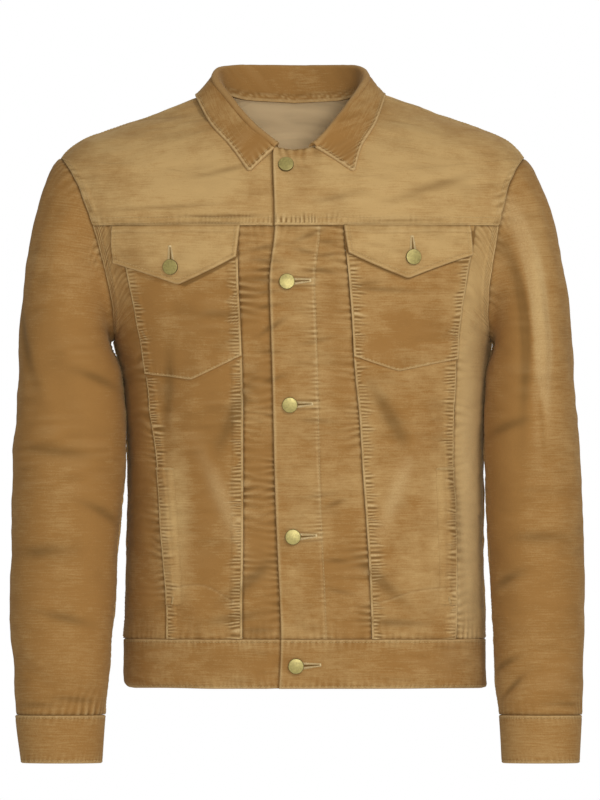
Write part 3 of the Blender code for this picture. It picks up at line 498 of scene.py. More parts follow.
def drift(u, v, seed):
    """Smooth uneven values from -1 to 1 over a plane, the same each run."""
    lattice = np.random.default_rng(seed).random((LATTICE, LATTICE)) * 2 - 1
    u, v = np.broadcast_arrays(np.asarray(u, float), np.asarray(v, float))
    iu, iv = np.floor(u).astype(int), np.floor(v).astype(int)
    fu, fv = ease(u - iu), ease(v - iv)
    iu, iv, ju, jv = iu % LATTICE, iv % LATTICE, (iu + 1) % LATTICE, (iv + 1) % LATTICE
    low = lattice[iu, iv] * (1 - fu) + lattice[ju, iv] * fu
    high = lattice[iu, jv] * (1 - fu) + lattice[ju, jv] * fu
    return low * (1 - fv) + high * fv


def rungs(along, away, spacing, seed):
    """Puckers across a seam, from -1 in a trough to 1 on a crest, uneven in spacing, slant and height."""
    wander = 0.80 * drift(along / (spacing * 3.6), away / 0.050, seed)
    wander = wander + 0.26 * drift(along / (spacing * 1.5), away / 0.016, seed + 1)
    wave = np.cos(2 * math.pi * (along / spacing + wander))
    height = 0.95 + 0.55 * drift(along / (spacing * 1.5), away / 0.030, seed + 2)
    return wave * np.clip(height, 0.25, 1.4)


# ---------------------------------------------------------------- the torso surface
def torso_reach(angle, height):
    """Distance from the torso's axis to its surface. The angle is 0 at the front, +90 degrees at the left."""
    front, back = TORSO.read("front_depth", height), TORSO.read("back_depth", height)
    depth = np.where(np.cos(angle) > 0, front, back)
    power = TORSO.read("roundness", height)
    sideways = np.abs(np.sin(angle)) / TORSO.read("half_width", height)
    forwards = np.abs(np.cos(angle)) / depth
    return (sideways**power + forwards**power) ** (-1 / power)


def smooth_torso(angle, height):
    angle, height = np.broadcast_arrays(np.asarray(angle, float), np.asarray(height, float))
    reach = torso_reach(angle, height)
    x = TORSO.read("centre_x", height) + reach * np.sin(angle)
    return np.stack([x, -reach * np.cos(angle), height], axis=-1)


def torso_normal(angle, height):
    step, turn = 0.0015, 0.0015 / 0.1
    height = np.clip(height, TORSO.keys[0] + step, TORSO.keys[-1] - step)
    around = smooth_torso(angle + turn, height) - smooth_torso(angle - turn, height)
    return unit(np.cross(around, smooth_torso(angle, height + step) - smooth_torso(angle, height - step)))


def girth_of(angle):
    return ((angle + math.pi) % (2 * math.pi) - math.pi) * TORSO_MEAN_RADIUS


def torso_surface(angle, height):
    """(points, normals) of the torso with its large folds."""
    points, normals = smooth_torso(angle, height), torso_normal(angle, height)
    turned = np.broadcast_to(angle, points.shape[:-1])
    rise = fold_rise(TORSO_FOLDS, girth_of(turned), points[..., 2])
    return points + normals * rise[..., None], normals


def past_edge(x, height):
    """How far x lies past the left front's free edge, towards the wearer's left."""
    return x - FRONT.read("edge", height)


def angle_of(x, height, back=False):
    """The angle at which the torso's front, or its back, passes through x."""
    out = np.asarray(x) - TORSO.read("centre_x", height)
    power = TORSO.read("roundness", height)
    depth = TORSO.read("back_depth" if back else "front_depth", height)
    share = np.clip(np.abs(out) / TORSO.read("half_width", height), 0, 1)
    forwards = depth * (1 - share**power) ** (1 / power)
    return np.arctan2(out, -forwards if back else forwards)


def arm_height(step):
    share = 0.5 * (1 - np.cos(np.pi * np.asarray(step) / ARM_STEPS))
    return ARM_BOTTOM + (ARM_TOP - ARM_BOTTOM) * share


def armhole_angle(height, back=False):
    """The armhole's edge on the left side, as an angle."""
    share = np.clip((np.asarray(height) - ARM_BOTTOM) / (ARM_TOP - ARM_BOTTOM), 0, 1)
    oval = (1 - np.abs(2 * share - 1) ** ARMHOLE_POWERS[0]) ** (1 / ARMHOLE_POWERS[1])
    reach = ARMHOLE_BACKWARD if back else -ARMHOLE_FORWARD
    return math.pi / 2 + math.radians(reach) * oval


FRONT_YOKE_SEAM = float(arm_height(FRONT_YOKE_STEP))
BACK_YOKE_SEAM = float(arm_height(BACK_YOKE_STEP))


def half_gap(angle, height):
    return SEAM_GAP / 2 / torso_reach(angle, height)


def seam_angle(side, seam, heights):
    return angle_of(FRONT.read(f"{seam}_{side}", heights), heights)


def spaced(length, edge_step, middle_step, at_end=True):
    """Shares from 0 to 1, closer together at the start and the end, a multiple of INNER_STEP in number."""
    d = np.linspace(0, length, 1500)
    near = np.minimum(d, length - d) if at_end else d
    step = edge_step + (middle_step - edge_step) * ease((near - BORDER) / BORDER)
    count = np.concatenate([[0], np.cumsum(np.diff(d) / step[1:])])
    number = INNER_STEP * max(1, math.ceil(count[-1] / INNER_STEP))
    return np.interp(np.linspace(0, count[-1], number + 1), count, d) / length


def between(start, end, shares):
    start, end = np.asarray(start)[:, None], np.asarray(end)[:, None]
    return start + (end - start) * np.asarray(shares)[None, :]


# ---------------------------------------------------------------- cloth
class Cloth:
    """A panel as a fine grid of points, with how far each one is from the panel's four edges."""

    def __init__(self, base, normals, thickness):
        self.base = base
        self.normals = normals
        self.thickness = thickness
        side = np.linalg.norm(np.diff(base, axis=1), axis=2)
        rise = np.linalg.norm(np.diff(base, axis=0), axis=2)
        across = np.concatenate([np.zeros((len(base), 1)), np.cumsum(side, axis=1)], axis=1)
        up = np.concatenate([np.zeros((1, base.shape[1])), np.cumsum(rise, axis=0)], axis=0)
        self.away = {"start": across, "end": across[:, -1:] - across, "bottom": up, "top": up[-1:] - up}
        self.along = {"start": up, "end": up, "bottom": across, "top": across}
        shape = base.shape[:2]
        self.lift, self.wear_and_highlight, self.shade, self.nap = (np.zeros(shape) for _ in range(4))
        self.stitches = []
        self.inside = None

    def size(self):
        """Widest and longest way along the cloth, and its flat area."""
        wide, long = self.away["start"].max(), self.away["bottom"].max()
        a, b = self.base[1:, 1:] - self.base[:-1, :-1], self.base[1:, :-1] - self.base[:-1, 1:]
        area = np.linalg.norm(np.cross(a, b), axis=2).sum() / 2
        return wide, long, area

    def crease(self, folds, around):
        rise = fold_rise(folds, around, self.base[..., 2])
        self.lift += rise
        # Painted shade in the creases' troughs, painted highlight with wear on their ridges.
        self.shade += np.clip(-rise / 0.0010, 0, 1) * 0.75
        self.wear_and_highlight += np.clip(rise / 0.0010, 0, 1) * 0.45

    def ripple(self, wave, near, lift, wear_and_highlight, painted_shade):
        """Lays waves on the cloth near a line: painted highlight with wear on their crests, painted shade in
        their troughs.
        """
        self.lift += lift * wave * near
        self.wear_and_highlight += wear_and_highlight * np.clip(wave, 0, 1) * near
        self.shade += painted_shade * np.clip(-wave, 0, 1) * near

    def front_nap(self, patches):
        """Lays the nap lighter or darker in places on the side that faces forwards."""
        x, y, height = np.moveaxis(self.base, -1, 0)
        self.nap += nap_of(patches, x, height) * (y < 0)

    def outer(self):
        return self.base + self.normals * self.lift[..., None]

    def inner(self):
        """The skin away from the eye, below every trough of the outer one."""
        depth = np.minimum(self.lift, 0) - self.thickness if self.inside is None else self.inside
        return self.base + self.normals * depth[..., None]

    def row_points(self, edge, distance, mask):
        """(points, normals) along the line at this distance from an edge, where the mask shows it."""
        grids = [self.outer(), self.normals, self.away[edge], np.broadcast_to(mask, self.lift.shape)]
        if edge in ("bottom", "top"):
            grids = [np.swapaxes(grid, 0, 1) for grid in grids]
        if edge in ("end", "top"):
            grids = [grid[:, ::-1] for grid in grids]
        outer, normals, away, mask = grids
        places = np.array([np.interp(distance, row, np.arange(len(row))) for row in away])
        low = np.minimum(places.astype(int), away.shape[1] - 2)
        share = (places - low)[:, None]
        rows = np.arange(len(low))
        line = outer[rows, low] * (1 - share) + outer[rows, low + 1] * share
        facing = unit(normals[rows, low] * (1 - share) + normals[rows, low + 1] * share)
        keep = mask[rows, low] > 0.5
        return line[keep], facing[keep]


def round_edge(cloth, edge, radius, drop=None, shows=1.0):
    """Rounds a free or folded edge over."""
    drop = radius if drop is None else drop
    cloth.lift -= shows * drop * np.clip(1 - cloth.away[edge] / radius, 0, 1) ** 2


def roll_edge(cloth, edge, radius, drop):
    """A free edge rounded over, its fold painted pale for wear and as painted highlight."""
    round_edge(cloth, edge, radius, drop)
    cloth.wear_and_highlight += 0.55 * bell(cloth.away[edge] - radius * 0.9, 0.0008)


def turned_edge(cloth, edge, seed, kind, shows=1.0):
    """An edge that is turned and stitched down, with small puckers that die out from its fold."""
    row = dict(zip(EDGE_COLUMNS, EDGE_KINDS[kind]))
    away = cloth.away[edge]
    wave = rungs(cloth.along[edge], away, row["spacing"], seed)
    near = np.exp(-np.clip(away - row["begins"], 0, None) / row["dies_in"]) * ease(away / 0.002)
    groove = bell(away - row["stitch_in"], row["groove_width"])
    line = bell(away - row["line_in"], row["line_width"])
    fold = bell(away - row["fold_in"], row["fold_width"])
    # Painted highlight with wear on the puckers' crests and the fold, painted shade in the troughs and along
    # the stitched line.
    cloth.ripple(wave, shows * near, row["pucker"], row["pucker_wear_and_highlight"], row["pucker_shade"])
    cloth.lift -= shows * row["groove"] * groove
    cloth.wear_and_highlight += shows * row["fold_wear_and_highlight"] * fold
    cloth.shade += shows * row["line_shade"] * line
    cloth.stitches.append((edge, row["stitch_in"], shows))


def over_seam(cloth, edge, seed, mask=1.0, width=FELL_WIDTH, rise=FELL_RISE, pucker=0.00046, rows=2,
              rung=RUNG_SPACING, ladder=1.0):
    """A folded edge that lies on its neighbour, with the allowance under it, stitches and puckers."""
    away, along = cloth.away[edge], cloth.along[edge]
    width = width + 0.0005 * drift(along / 0.03, along * 0, seed + 5)
    wave = rungs(along, away, rung, seed)
    length = width * (1.05 + 0.50 * drift(along / (rung * 1.1), along * 0, seed + 9)
                      + 0.25 * drift(along / 0.030, along * 0, seed + 10))
    inside = ease((away - 0.0016) / 0.0016) * (1 - ease((away - length * 0.55) / (length * 0.85)))
    near = mask * ladder * inside
    cloth.lift += mask * rise * (1 - ease((away - width) / 0.0035))
    cloth.lift += pucker * near * wave
    # Painted highlight with wear on the puckers' crests, painted shade in their troughs and in the stitch
    # grooves.
    cloth.wear_and_highlight += 1.0 * near * np.clip(wave, 0, 1) ** 1.3
    cloth.shade += 1.25 * near * np.clip(-wave, 0, 1)
    for line in (STITCH_IN, width - 0.0018)[:rows]:
        groove = bell(away - line, 0.0006)
        cloth.lift -= mask * 0.00025 * groove
        cloth.shade += mask * 0.20 * groove
    cloth.lift += mask * 0.00030 * bell(away - 0.0014, 0.0009)
    cloth.lift -= mask * rise * 1.3 * np.clip(1 - away / 0.0009, 0, 1) ** 2
    # The fold's edge is painted pale, partly wear and partly painted highlight.
    cloth.wear_and_highlight += mask * 1.1 * bell(away - 0.0010, 0.0010) * (0.75 + 0.45 * drift(along / 0.010, 0, seed + 7))
    cloth.nap += mask * 0.16 * np.exp(-away / 0.012)
    for line in (STITCH_IN, FELL_WIDTH - 0.0018)[:rows]:
        cloth.stitches.append((edge, line, mask))


def under_seam(cloth, edge, seed, mask=1.0, pucker=0.0003, reach=0.010, spacing=GATHER_SPACING,
               gathers=1.0, line=0.95):
    """The cloth that goes in under its neighbour's folded edge: a line of painted shadow, and gathers that
    die out.
    """
    away, along = cloth.away[edge], cloth.along[edge]
    wave = rungs(along, away, spacing, seed)
    uneven = np.clip(0.65 + 0.9 * drift(along / 0.026, away * 0, seed + 6), 0.1, 1.3)
    inside = np.exp(-away / (reach * (0.6 + 0.5 * uneven))) * uneven
    seam = bell(away, 0.0016)
    # The gathers get painted highlight with wear on their crests and painted shade in their troughs.
    cloth.ripple(wave, mask * inside, 1.6 * pucker, 0.40 * gathers, 0.75 * gathers)
    cloth.lift -= mask * 0.0007 * seam
    cloth.shade += mask * line * seam


def slack(cloth, seed, amount=0.0006, scale=0.030):
    """The slight unevenness of a large panel, and the faint level wrinkles that wear leaves in it."""
    u, v = cloth.along["bottom"], cloth.along["start"]
    wave = drift(u / scale, v / (scale * 0.7), seed)
    wave = wave + 0.45 * drift(u / (scale * 0.4), v / (scale * 0.28), seed + 3)
    level = drift(u / 0.030, v / 0.0052 + u / 0.11, seed + 17)
    level = level * np.clip(0.45 + drift(u / 0.05, v / 0.035, seed + 19), 0, 1)
    cloth.lift += amount * wave + 0.00030 * level
    # Painted shade in the troughs of the unevenness and of the level wrinkles, painted highlight with wear on
    # the wrinkles' crests.
    cloth.shade += 0.12 * np.clip(-wave, 0, 1) + 0.26 * np.clip(-level, 0, 1)
    cloth.wear_and_highlight += 0.12 * np.clip(level, 0, 1)


def closed_wall(name, outer, inner, step):
    """A fine outer skin, an inner skin on every step-th row and column, and the rim between them."""
    rows, columns = outer.shape[:2]
    coarse = inner[::step, ::step]
    inner_rows, inner_columns = coarse.shape[:2]
    points = np.concatenate([outer.reshape(-1, 3), coarse.reshape(-1, 3)])
    fine_index = np.arange(rows * columns).reshape(rows, columns)
    plain_index = rows * columns + np.arange(inner_rows * inner_columns).reshape(inner_rows, inner_columns)

    def skin(index):
        low, high = index[:-1], index[1:]
        return np.stack([low[:, :-1], low[:, 1:], high[:, 1:], high[:, :-1]], axis=-1).reshape(-1, 4)

    faces = [tuple(face) for face in np.concatenate([skin(fine_index), skin(plain_index)[:, ::-1]]).tolist()]

    def rim(fine, plain, backwards):
        for n in range(len(plain) - 1):
            face = [*fine[n * step:(n + 1) * step + 1], plain[n + 1], plain[n]]
            faces.append(tuple(face[::-1] if backwards else face))

    for side, backwards in ((0, True), (-1, False)):
        rim(fine_index[side].tolist(), plain_index[side].tolist(), backwards)
    for side, backwards in ((0, False), (-1, True)):
        rim(fine_index[:, side].tolist(), plain_index[:, side].tolist(), backwards)
    facing = np.cross(outer[1, 0] - outer[0, 0], outer[0, 1] - outer[0, 0])
    if facing @ (outer[0, 0] - inner[0, 0]) > 0:
        faces = [face[::-1] for face in faces]
    mesh = bpy.data.meshes.new(name)
    mesh.from_pydata(points, [], faces)
    return mesh


def add_piece(name, mesh, material):
    """Puts a mesh in the scene as one piece of the jacket."""
    mesh.materials.append(material)
    piece = bpy.data.objects.new(name, mesh)
    bpy.context.scene.collection.objects.link(piece)
    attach(piece, "root")
    return piece


def sew(name, cloth, material, node_name, slot="suede", step=INNER_STEP, held="draped", rests_on=(),
        turned=False):
    """Makes the piece from its cloth and lays on it the marks of wear, painted highlight, painted shade and
    nap.
    """
    mesh = closed_wall(name, cloth.outer(), cloth.inner(), step)
    cut = np.stack([cloth.along["bottom"], cloth.along["start"]][::-1 if turned else 1], axis=-1)
    flat = np.concatenate([cut.reshape(-1, 2), cut[::step, ::step].reshape(-1, 2)])
    for key in WEAR_SHADE_AND_NAP_MARKS:
        grid = getattr(cloth, key)
        values = np.concatenate([grid.ravel(), grid[::step, ::step].ravel() * INSIDE_MARK_SHARE])
        values = np.clip(values, -1 if key == "nap" else 0, 1)
        mark_points(mesh, key, values)
    layer = mesh.uv_layers.new(name="cut")
    corners = np.empty(len(mesh.loops), np.int32)
    mesh.loops.foreach_get("vertex_index", corners)
    layer.data.foreach_set("uv", flat[corners].astype(np.float32).ravel())
    mesh.shade_smooth()
    piece = add_piece(name, mesh, material)
    mesh.set_sharp_from_angle(angle=math.radians(62))
    wide, long, area = cloth.size()
    area = min(area, wide * long) * 0.999
    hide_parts(node_name)


def finish_cloth(name, cloth, material, group, side="", node_name="", stitch=None, **settings):
    """Sews the rows of stitches on a cloth, makes it, and keeps it for what is put on it later."""
    end = f"_{side}" if side else ""
    for edge, distance, mask in cloth.stitches:
        points, normals = cloth.row_points(edge, distance, mask)
        thread_of(group).row(points, normals, stitch or sizes().stitch)
    PANELS[name + end] = cloth
    sew(f"{name}_cloth{end}", cloth, material, (node_name or name) + end, **settings)


# ---------------------------------------------------------------- stitches, bars and buttonholes
BEAD_SECTIONS = ((0.0, 0.45), (0.5, 1.0), (1.0, 0.45))  # share of the length, share of the width
BEAD_SIDES = 4
THREAD_WIDTH = 0.00055
STITCH_SPACE = 0.28  # of a stitch's length


class Thread:
    """Gathers short lengths of thread, each a rounded bead, to be made as one mesh."""

    def __init__(self):
        self.starts, self.ends, self.normals, self.widths = [], [], [], []

    def add(self, starts, ends, normals, width):
        self.starts.append(np.atleast_2d(starts))
        self.ends.append(np.atleast_2d(ends))
        self.normals.append(np.atleast_2d(normals))
        self.widths.append(np.full(len(self.starts[-1]), width))

    def row(self, points, normals, length):
        """Stitches along a line, each sunk a little at its ends."""
        if len(points) < 3:
            return
        steps = np.linalg.norm(np.diff(points, axis=0), axis=1)
        run = np.concatenate([[0], np.cumsum(steps)])
        space = length * STITCH_SPACE
        begins = np.arange(space, run[-1] - length, length + space)
        if not len(begins):
            return

        def at(distance, vectors):
            return np.stack([np.interp(distance, run, vectors[:, k]) for k in range(3)], axis=-1)

        self.add(at(begins, points), at(begins + length, points), unit(at(begins, normals)), THREAD_WIDTH)

    def make(self, name, material):
        starts, ends = np.concatenate(self.starts), np.concatenate(self.ends)
        normals, widths = unit(np.concatenate(self.normals)), np.concatenate(self.widths)
        direction = unit(ends - starts)
        side = unit(np.cross(normals, direction))
        points = []
        for share, fat in BEAD_SECTIONS:
            middle = starts + (ends - starts) * share + normals * (widths * (0.30 * fat))[:, None]
            for turn in range(BEAD_SIDES):
                a = 2 * math.pi * turn / BEAD_SIDES
                spoke = side * math.cos(a) + normals * math.sin(a) * 0.75
                points.append(middle + spoke * (widths * 0.5 * fat)[:, None])
        points = np.stack(points, axis=1)
        count, each = points.shape[:2]
        sides = []
        for section in range(len(BEAD_SECTIONS) - 1):
            for turn in range(BEAD_SIDES):
                a = section * BEAD_SIDES + turn
                b = section * BEAD_SIDES + (turn + 1) % BEAD_SIDES
                sides.append((a, b, b + BEAD_SIDES, a + BEAD_SIDES))
        caps = [tuple(range(BEAD_SIDES))[::-1], tuple(range(each - BEAD_SIDES, each))]
        faces = []
        for pattern in (sides, caps):
            every = np.array(pattern)[None] + (np.arange(count) * each)[:, None, None]
            faces += every.reshape(-1, len(pattern[0])).tolist()
        mesh = bpy.data.meshes.new(name)
        mesh.from_pydata(points.reshape(-1, 3), [], faces)
        mesh.shade_smooth()
        add_piece(name, mesh, material)


# ---------------------------------------------------------------- what the user changes
def length_setting(name, description, default, low, high):
    return bpy.props.FloatProperty(name=name, description=description, default=default, min=low, max=high,
                                   unit="LENGTH")


def colour_setting(name, description, default):
    return bpy.props.FloatVectorProperty(name=name, description=description, default=default, size=3,
                                         min=0, max=1, subtype="COLOR")


class JacketSizes(bpy.types.PropertyGroup):
    cloth: length_setting("Cloth", "Thickness of one layer of suede", 0.0016, 0.0010, 0.0020)
    doubled: length_setting("Doubled cloth", "Thickness of collar, waistband and cuffs",
                            0.0024, 0.0018, 0.0030)
    stitch: length_setting("Stitch", "Length of one stitch", 0.0027, 0.002, 0.005)
    button: length_setting("Button", "Radius of a button", 0.0088, 0.006, 0.010)


class JacketColours(bpy.types.PropertyGroup):
    suede: colour_setting("Suede", "The nap where it lies flat", (0.325, 0.163, 0.046))
    light: colour_setting("Brushed", "The nap where it is brushed up", (0.515, 0.332, 0.134))
    # Partly wear, partly painted highlight: the pale colour of crests and folded edges.
    wear_and_highlight: colour_setting("Worn", "Crests and folded edges that are rubbed pale", (0.660, 0.470, 0.225))
    # Painted shade: the colour laid in grooves, troughs, seams and under edges.
    painted_shade: colour_setting("Dark", "The nap in grooves", (0.165, 0.085, 0.024))
    # Painted light: brighter than the suede so that the facing looks lit inside the neck.
    facing: colour_setting("Facing", "The smooth facing inside the neck", (0.980, 0.715, 0.395))
    brass: colour_setting("Brass", "Antique brass of the buttons", (0.50, 0.415, 0.130))


def sizes():
    return bpy.context.scene.jacket_sizes


def colours():
    return bpy.context.scene.jacket_colours


# ---------------------------------------------------------------- materials
def new_material(name):
    material = bpy.data.materials.new(name)
    material.use_nodes = True
    tree = material.node_tree
    return material, tree, tree.nodes["Principled BSDF"]


def node(tree, kind, **settings):
    made = tree.nodes.new(kind)
    for key, value in settings.items():
        setattr(made, key, value)
    return made


def maths(tree, operation, first, second=None, clamp=False):
    made = node(tree, "ShaderNodeMath", operation=operation, use_clamp=clamp)
    for socket, value in zip(made.inputs, (first, second)):
        if value is None:
            continue
        if isinstance(value, (int, float)):
            socket.default_value = value
        else:
            tree.links.new(value, socket)
    return made.outputs[0]


def set_sockets(made, values):
    for name, value in values.items():
        made.inputs[name].default_value = value


def add_share(tree, total, value, amount):
    return maths(tree, "ADD", total, maths(tree, "MULTIPLY", value, amount))


def cloud(tree, vector, scale, detail, roughness=0.55):
    made = node(tree, "ShaderNodeTexNoise")
    set_sockets(made, {"Scale": scale, "Detail": detail, "Roughness": roughness})
    tree.links.new(vector, made.inputs["Vector"])
    return made.outputs["Fac"]


def stretched(tree, vector, scale):
    made = node(tree, "ShaderNodeMapping")
    made.inputs["Scale"].default_value = scale
    tree.links.new(vector, made.inputs["Vector"])
    return made.outputs["Vector"]


def spread(tree, value, low, high, to_low=0.0, to_high=1.0):
    made = node(tree, "ShaderNodeMapRange")
    tree.links.new(value, made.inputs["Value"])
    set_sockets(made, {"From Min": low, "From Max": high, "To Min": to_low, "To Max": to_high})
    return made.outputs[0]


def mark(tree, name):
    """What the mesh's points say of themselves: their wear and painted highlight, painted shade, brushed nap,
    or patina and painted shade.
    """
    return node(tree, "ShaderNodeAttribute", attribute_name=name).outputs["Fac"]


def mark_points(mesh, name, values):
    attribute = mesh.attributes.new(name, "FLOAT", "POINT")
    attribute.data.foreach_set("value", values.astype(np.float32))


def object_place(tree):
    return node(tree, "ShaderNodeTexCoord").outputs["Object"]


def add_bump(tree, shader, height, strength, distance):
    bump = node(tree, "ShaderNodeBump")
    set_sockets(bump, {"Strength": strength, "Distance": distance})
    tree.links.new(height, bump.inputs["Height"])
    tree.links.new(bump.outputs["Normal"], shader.inputs["Normal"])


def blend_colour(tree, share, first, second):
    made = node(tree, "ShaderNodeMix", data_type="RGBA")
    if isinstance(share, (int, float)):
        made.inputs["Factor"].default_value = share
    else:
        tree.links.new(share, made.inputs["Factor"])
    for name, value in (("A", first), ("B", second)):
        socket = next(s for s in made.inputs if s.name == name and s.type == "RGBA")
        if isinstance(value, bpy.types.NodeSocket):
            tree.links.new(value, socket)
        else:
            socket.default_value = (*value, 1.0)
    return next(s for s in made.outputs if s.type == "RGBA")


def suede_material(name, tone, smooth=False, calm=False):
    """Napped suede: blotchy brushed nap, faint ribs across the cloth, painted highlight with wear on crests
    and painted shade in grooves.
    """
    material, tree, shader = new_material(name)
    place = object_place(tree)
    cut = node(tree, "ShaderNodeUVMap", uv_map="cut").outputs["UV"]
    tall_place = stretched(tree, place, (0.70, 0.70, 1.0))
    blotch = cloud(tree, tall_place, 26, 3, 0.6)
    smear = cloud(tree, tall_place, 95, 4, 0.65)
    fibre = cloud(tree, place, 620, 3, 0.7)
    ribs = cloud(tree, stretched(tree, cut, (45.0, 640.0, 1.0)), 1.0, 2, 0.6)
    brushed = maths(tree, "MULTIPLY", spread(tree, blotch, 0.32, 0.68, -1, 1), 0.12 if smooth else 0.26)
    brushed = maths(tree, "MULTIPLY", brushed, 0.45 if calm else 1.0)
    for pattern, amount in ((smear, 0.08 if calm else 0.16), (ribs, 0.20), (fibre, 0.14)):
        amount = amount * 0.5 if smooth else amount
        brushed = add_share(tree, brushed, spread(tree, pattern, 0.30, 0.70, -1, 1), amount)
    brushed = add_share(tree, brushed, mark(tree, "nap"), 1.25)
    brushed = maths(tree, "ADD", brushed, tone, clamp=True)
    shades = colours()
    # The smooth kind blends towards the facing colour, which is brightened as painted light.
    body = blend_colour(tree, brushed, shades.suede, shades.facing if smooth else shades.light)
    # Painted shade where the cloth's marks call for it.
    shade_share = maths(tree, "MULTIPLY", mark(tree, "shade"), 0.80, clamp=True)
    body = blend_colour(tree, shade_share, body, shades.painted_shade)
    # Painted highlight with wear where the cloth's marks call for it, broken up by the fibres.
    rough_edge = spread(tree, fibre, 0.25, 0.75, 0.55, 1.15)
    wear_and_highlight_share = maths(tree, "MULTIPLY", mark(tree, "wear_and_highlight"), rough_edge)
    wear_and_highlight_share = maths(tree, "MULTIPLY", wear_and_highlight_share, 0.78, clamp=True)
    tree.links.new(blend_colour(tree, wear_and_highlight_share, body, shades.wear_and_highlight), shader.inputs["Base Color"])
    set_sockets(shader, {"Roughness": 0.95, "Specular IOR Level": 0.12, "Sheen Roughness": 0.40,
                         "Sheen Weight": 0.06 if smooth else 0.12, "Sheen Tint": (1.0, 0.78, 0.45, 1.0)})
    height = maths(tree, "MULTIPLY", ribs, 0.55)
    height = add_share(tree, height, fibre, 0.30 if smooth else 0.50)
    height = add_share(tree, height, smear, 0.60)
    add_bump(tree, shader, height, 0.30 if smooth else 0.75, 0.0007)
    return material


THREAD_COLOURS = {"cotton_thread": ((0.46, 0.30, 0.12), (0.62, 0.45, 0.21)),
                  "buttonhole_thread": ((0.62, 0.46, 0.22), (0.74, 0.58, 0.32))}
# Painted shade: the colours of the strips laid in the buttonholes' openings.
SLIT_SHADE_COLOURS = ((0.10, 0.058, 0.018), (0.17, 0.095, 0.030))
# Brown of the patina in the buttons' hollows, also used as painted shade at their rims and sides.
TARNISH_AND_SHADE = (0.115, 0.080, 0.022)


def uneven_colour(tree, shader, scale, darkest, palest, detail=2):
    """A matte colour that drifts between two shades."""
    uneven = spread(tree, cloud(tree, object_place(tree), scale, detail), 0.3, 0.7)
    tree.links.new(blend_colour(tree, uneven, darkest, palest), shader.inputs["Base Color"])


def thread_material(name):
    """Matte cotton thread, a little uneven in colour."""
    material, tree, shader = new_material(name)
    uneven_colour(tree, shader, 240, *THREAD_COLOURS[name])
    set_sockets(shader, {"Roughness": 0.85, "Specular IOR Level": 0.2})
    add_bump(tree, shader, cloud(tree, object_place(tree), 2400, 1), 0.4, 0.0002)
    return material


def slit_shade_material(name):
    """Painted shade for the inside of a cut buttonhole."""
    material, tree, shader = new_material(name)
    uneven_colour(tree, shader, 900, *SLIT_SHADE_COLOURS)
    set_sockets(shader, {"Roughness": 1.0, "Specular IOR Level": 0.0})
    return material


def brass_material(name):
    """Antique brass: rubbed bright on its ridges, brown and dull with patina in its hollows, and painted
    shade at its rim and sides.
    """
    material, tree, shader = new_material(name)
    place = object_place(tree)
    tarnish = cloud(tree, place, 420, 4, 0.6)
    scratches = cloud(tree, place, 1900, 2, 0.6)
    mixed = spread(tree, tarnish, 0.35, 0.75, 0.0, 0.40)
    # Patina in the hollows, and painted shade at the rim and sides, from the mark on the mesh.
    mixed = maths(tree, "ADD", mixed, mark(tree, "patina_and_shade"), clamp=True)
    tree.links.new(blend_colour(tree, mixed, colours().brass, TARNISH_AND_SHADE), shader.inputs["Base Color"])
    shader.inputs["Metallic"].default_value = 0.40
    tree.links.new(spread(tree, scratches, 0.2, 0.8, 0.30, 0.50), shader.inputs["Roughness"])
    add_bump(tree, shader, tarnish, 0.25, 0.0002)
    return material


MADE = {}
THREADS = {}
PANELS = {}


def shared(key, make, *args):
    if key not in MADE:
        MADE[key] = make(key, *args)
    return MADE[key]


def suede(tone, smooth=False, calm=False):
    kind = "_smooth" if smooth else "_calm" if calm else ""
    return shared(f"suede_{round(tone * 100)}{kind}", suede_material, tone, smooth, calm)


def thread_of(group):
    return THREADS.setdefault(group, Thread())


# ---------------------------------------------------------------- torso panels
def lap_push(x, height, thickness, spare=FRONT_LAP_SPARE):
    """How far the right front lies back where the left front covers it."""
    depth = thickness + SEAM_GAP + LAP_ROOM + spare
    return -depth * ease((past_edge(x, height) + LAP_START) / LAP_RAMP)


def torso_cloth(angle, height, thickness, out=0.0):
    """Cloth on the torso's surface, its outer skin moved out by this much."""
    points, normals = torso_surface(angle, height)
    cloth = Cloth(points + normals * np.asarray(out)[..., None], normals, thickness)
    cloth.angle, cloth.height = np.broadcast_to(angle, points.shape[:2]), points[..., 2]
    cloth.crease(CREASES, girth_of(cloth.angle))
    cloth.front_nap(FRONT_NAP)
    return cloth


def rows_between(bottom, top, edge_step, middle_step):
    return bottom + (top - bottom) * spaced(top - bottom, edge_step, middle_step)


def panel_rows(top, edge_step=FINE, middle_step=FINE * 1.03):
    """Heights from the waistband's seam up to the seam above."""
    return rows_between(WAIST_SEAM + SEAM_GAP / 2, top - SEAM_GAP / 2, edge_step, middle_step)


def mid_span(side, heights):
    """The angles between which the front's middle panel lies, clear of its two lengthwise seams."""
    start, end = seam_angle(side, "inner", heights), seam_angle(side, "outer", heights)
    sign = SIDES[side]
    return start + sign * half_gap(start, heights), end - sign * half_gap(end, heights)


def vee(share, corners, point):
    """The height of a lower edge that comes to a point."""
    return np.interp(share, (0.0, point[0], 1.0), (corners[0], point[1], corners[1]))


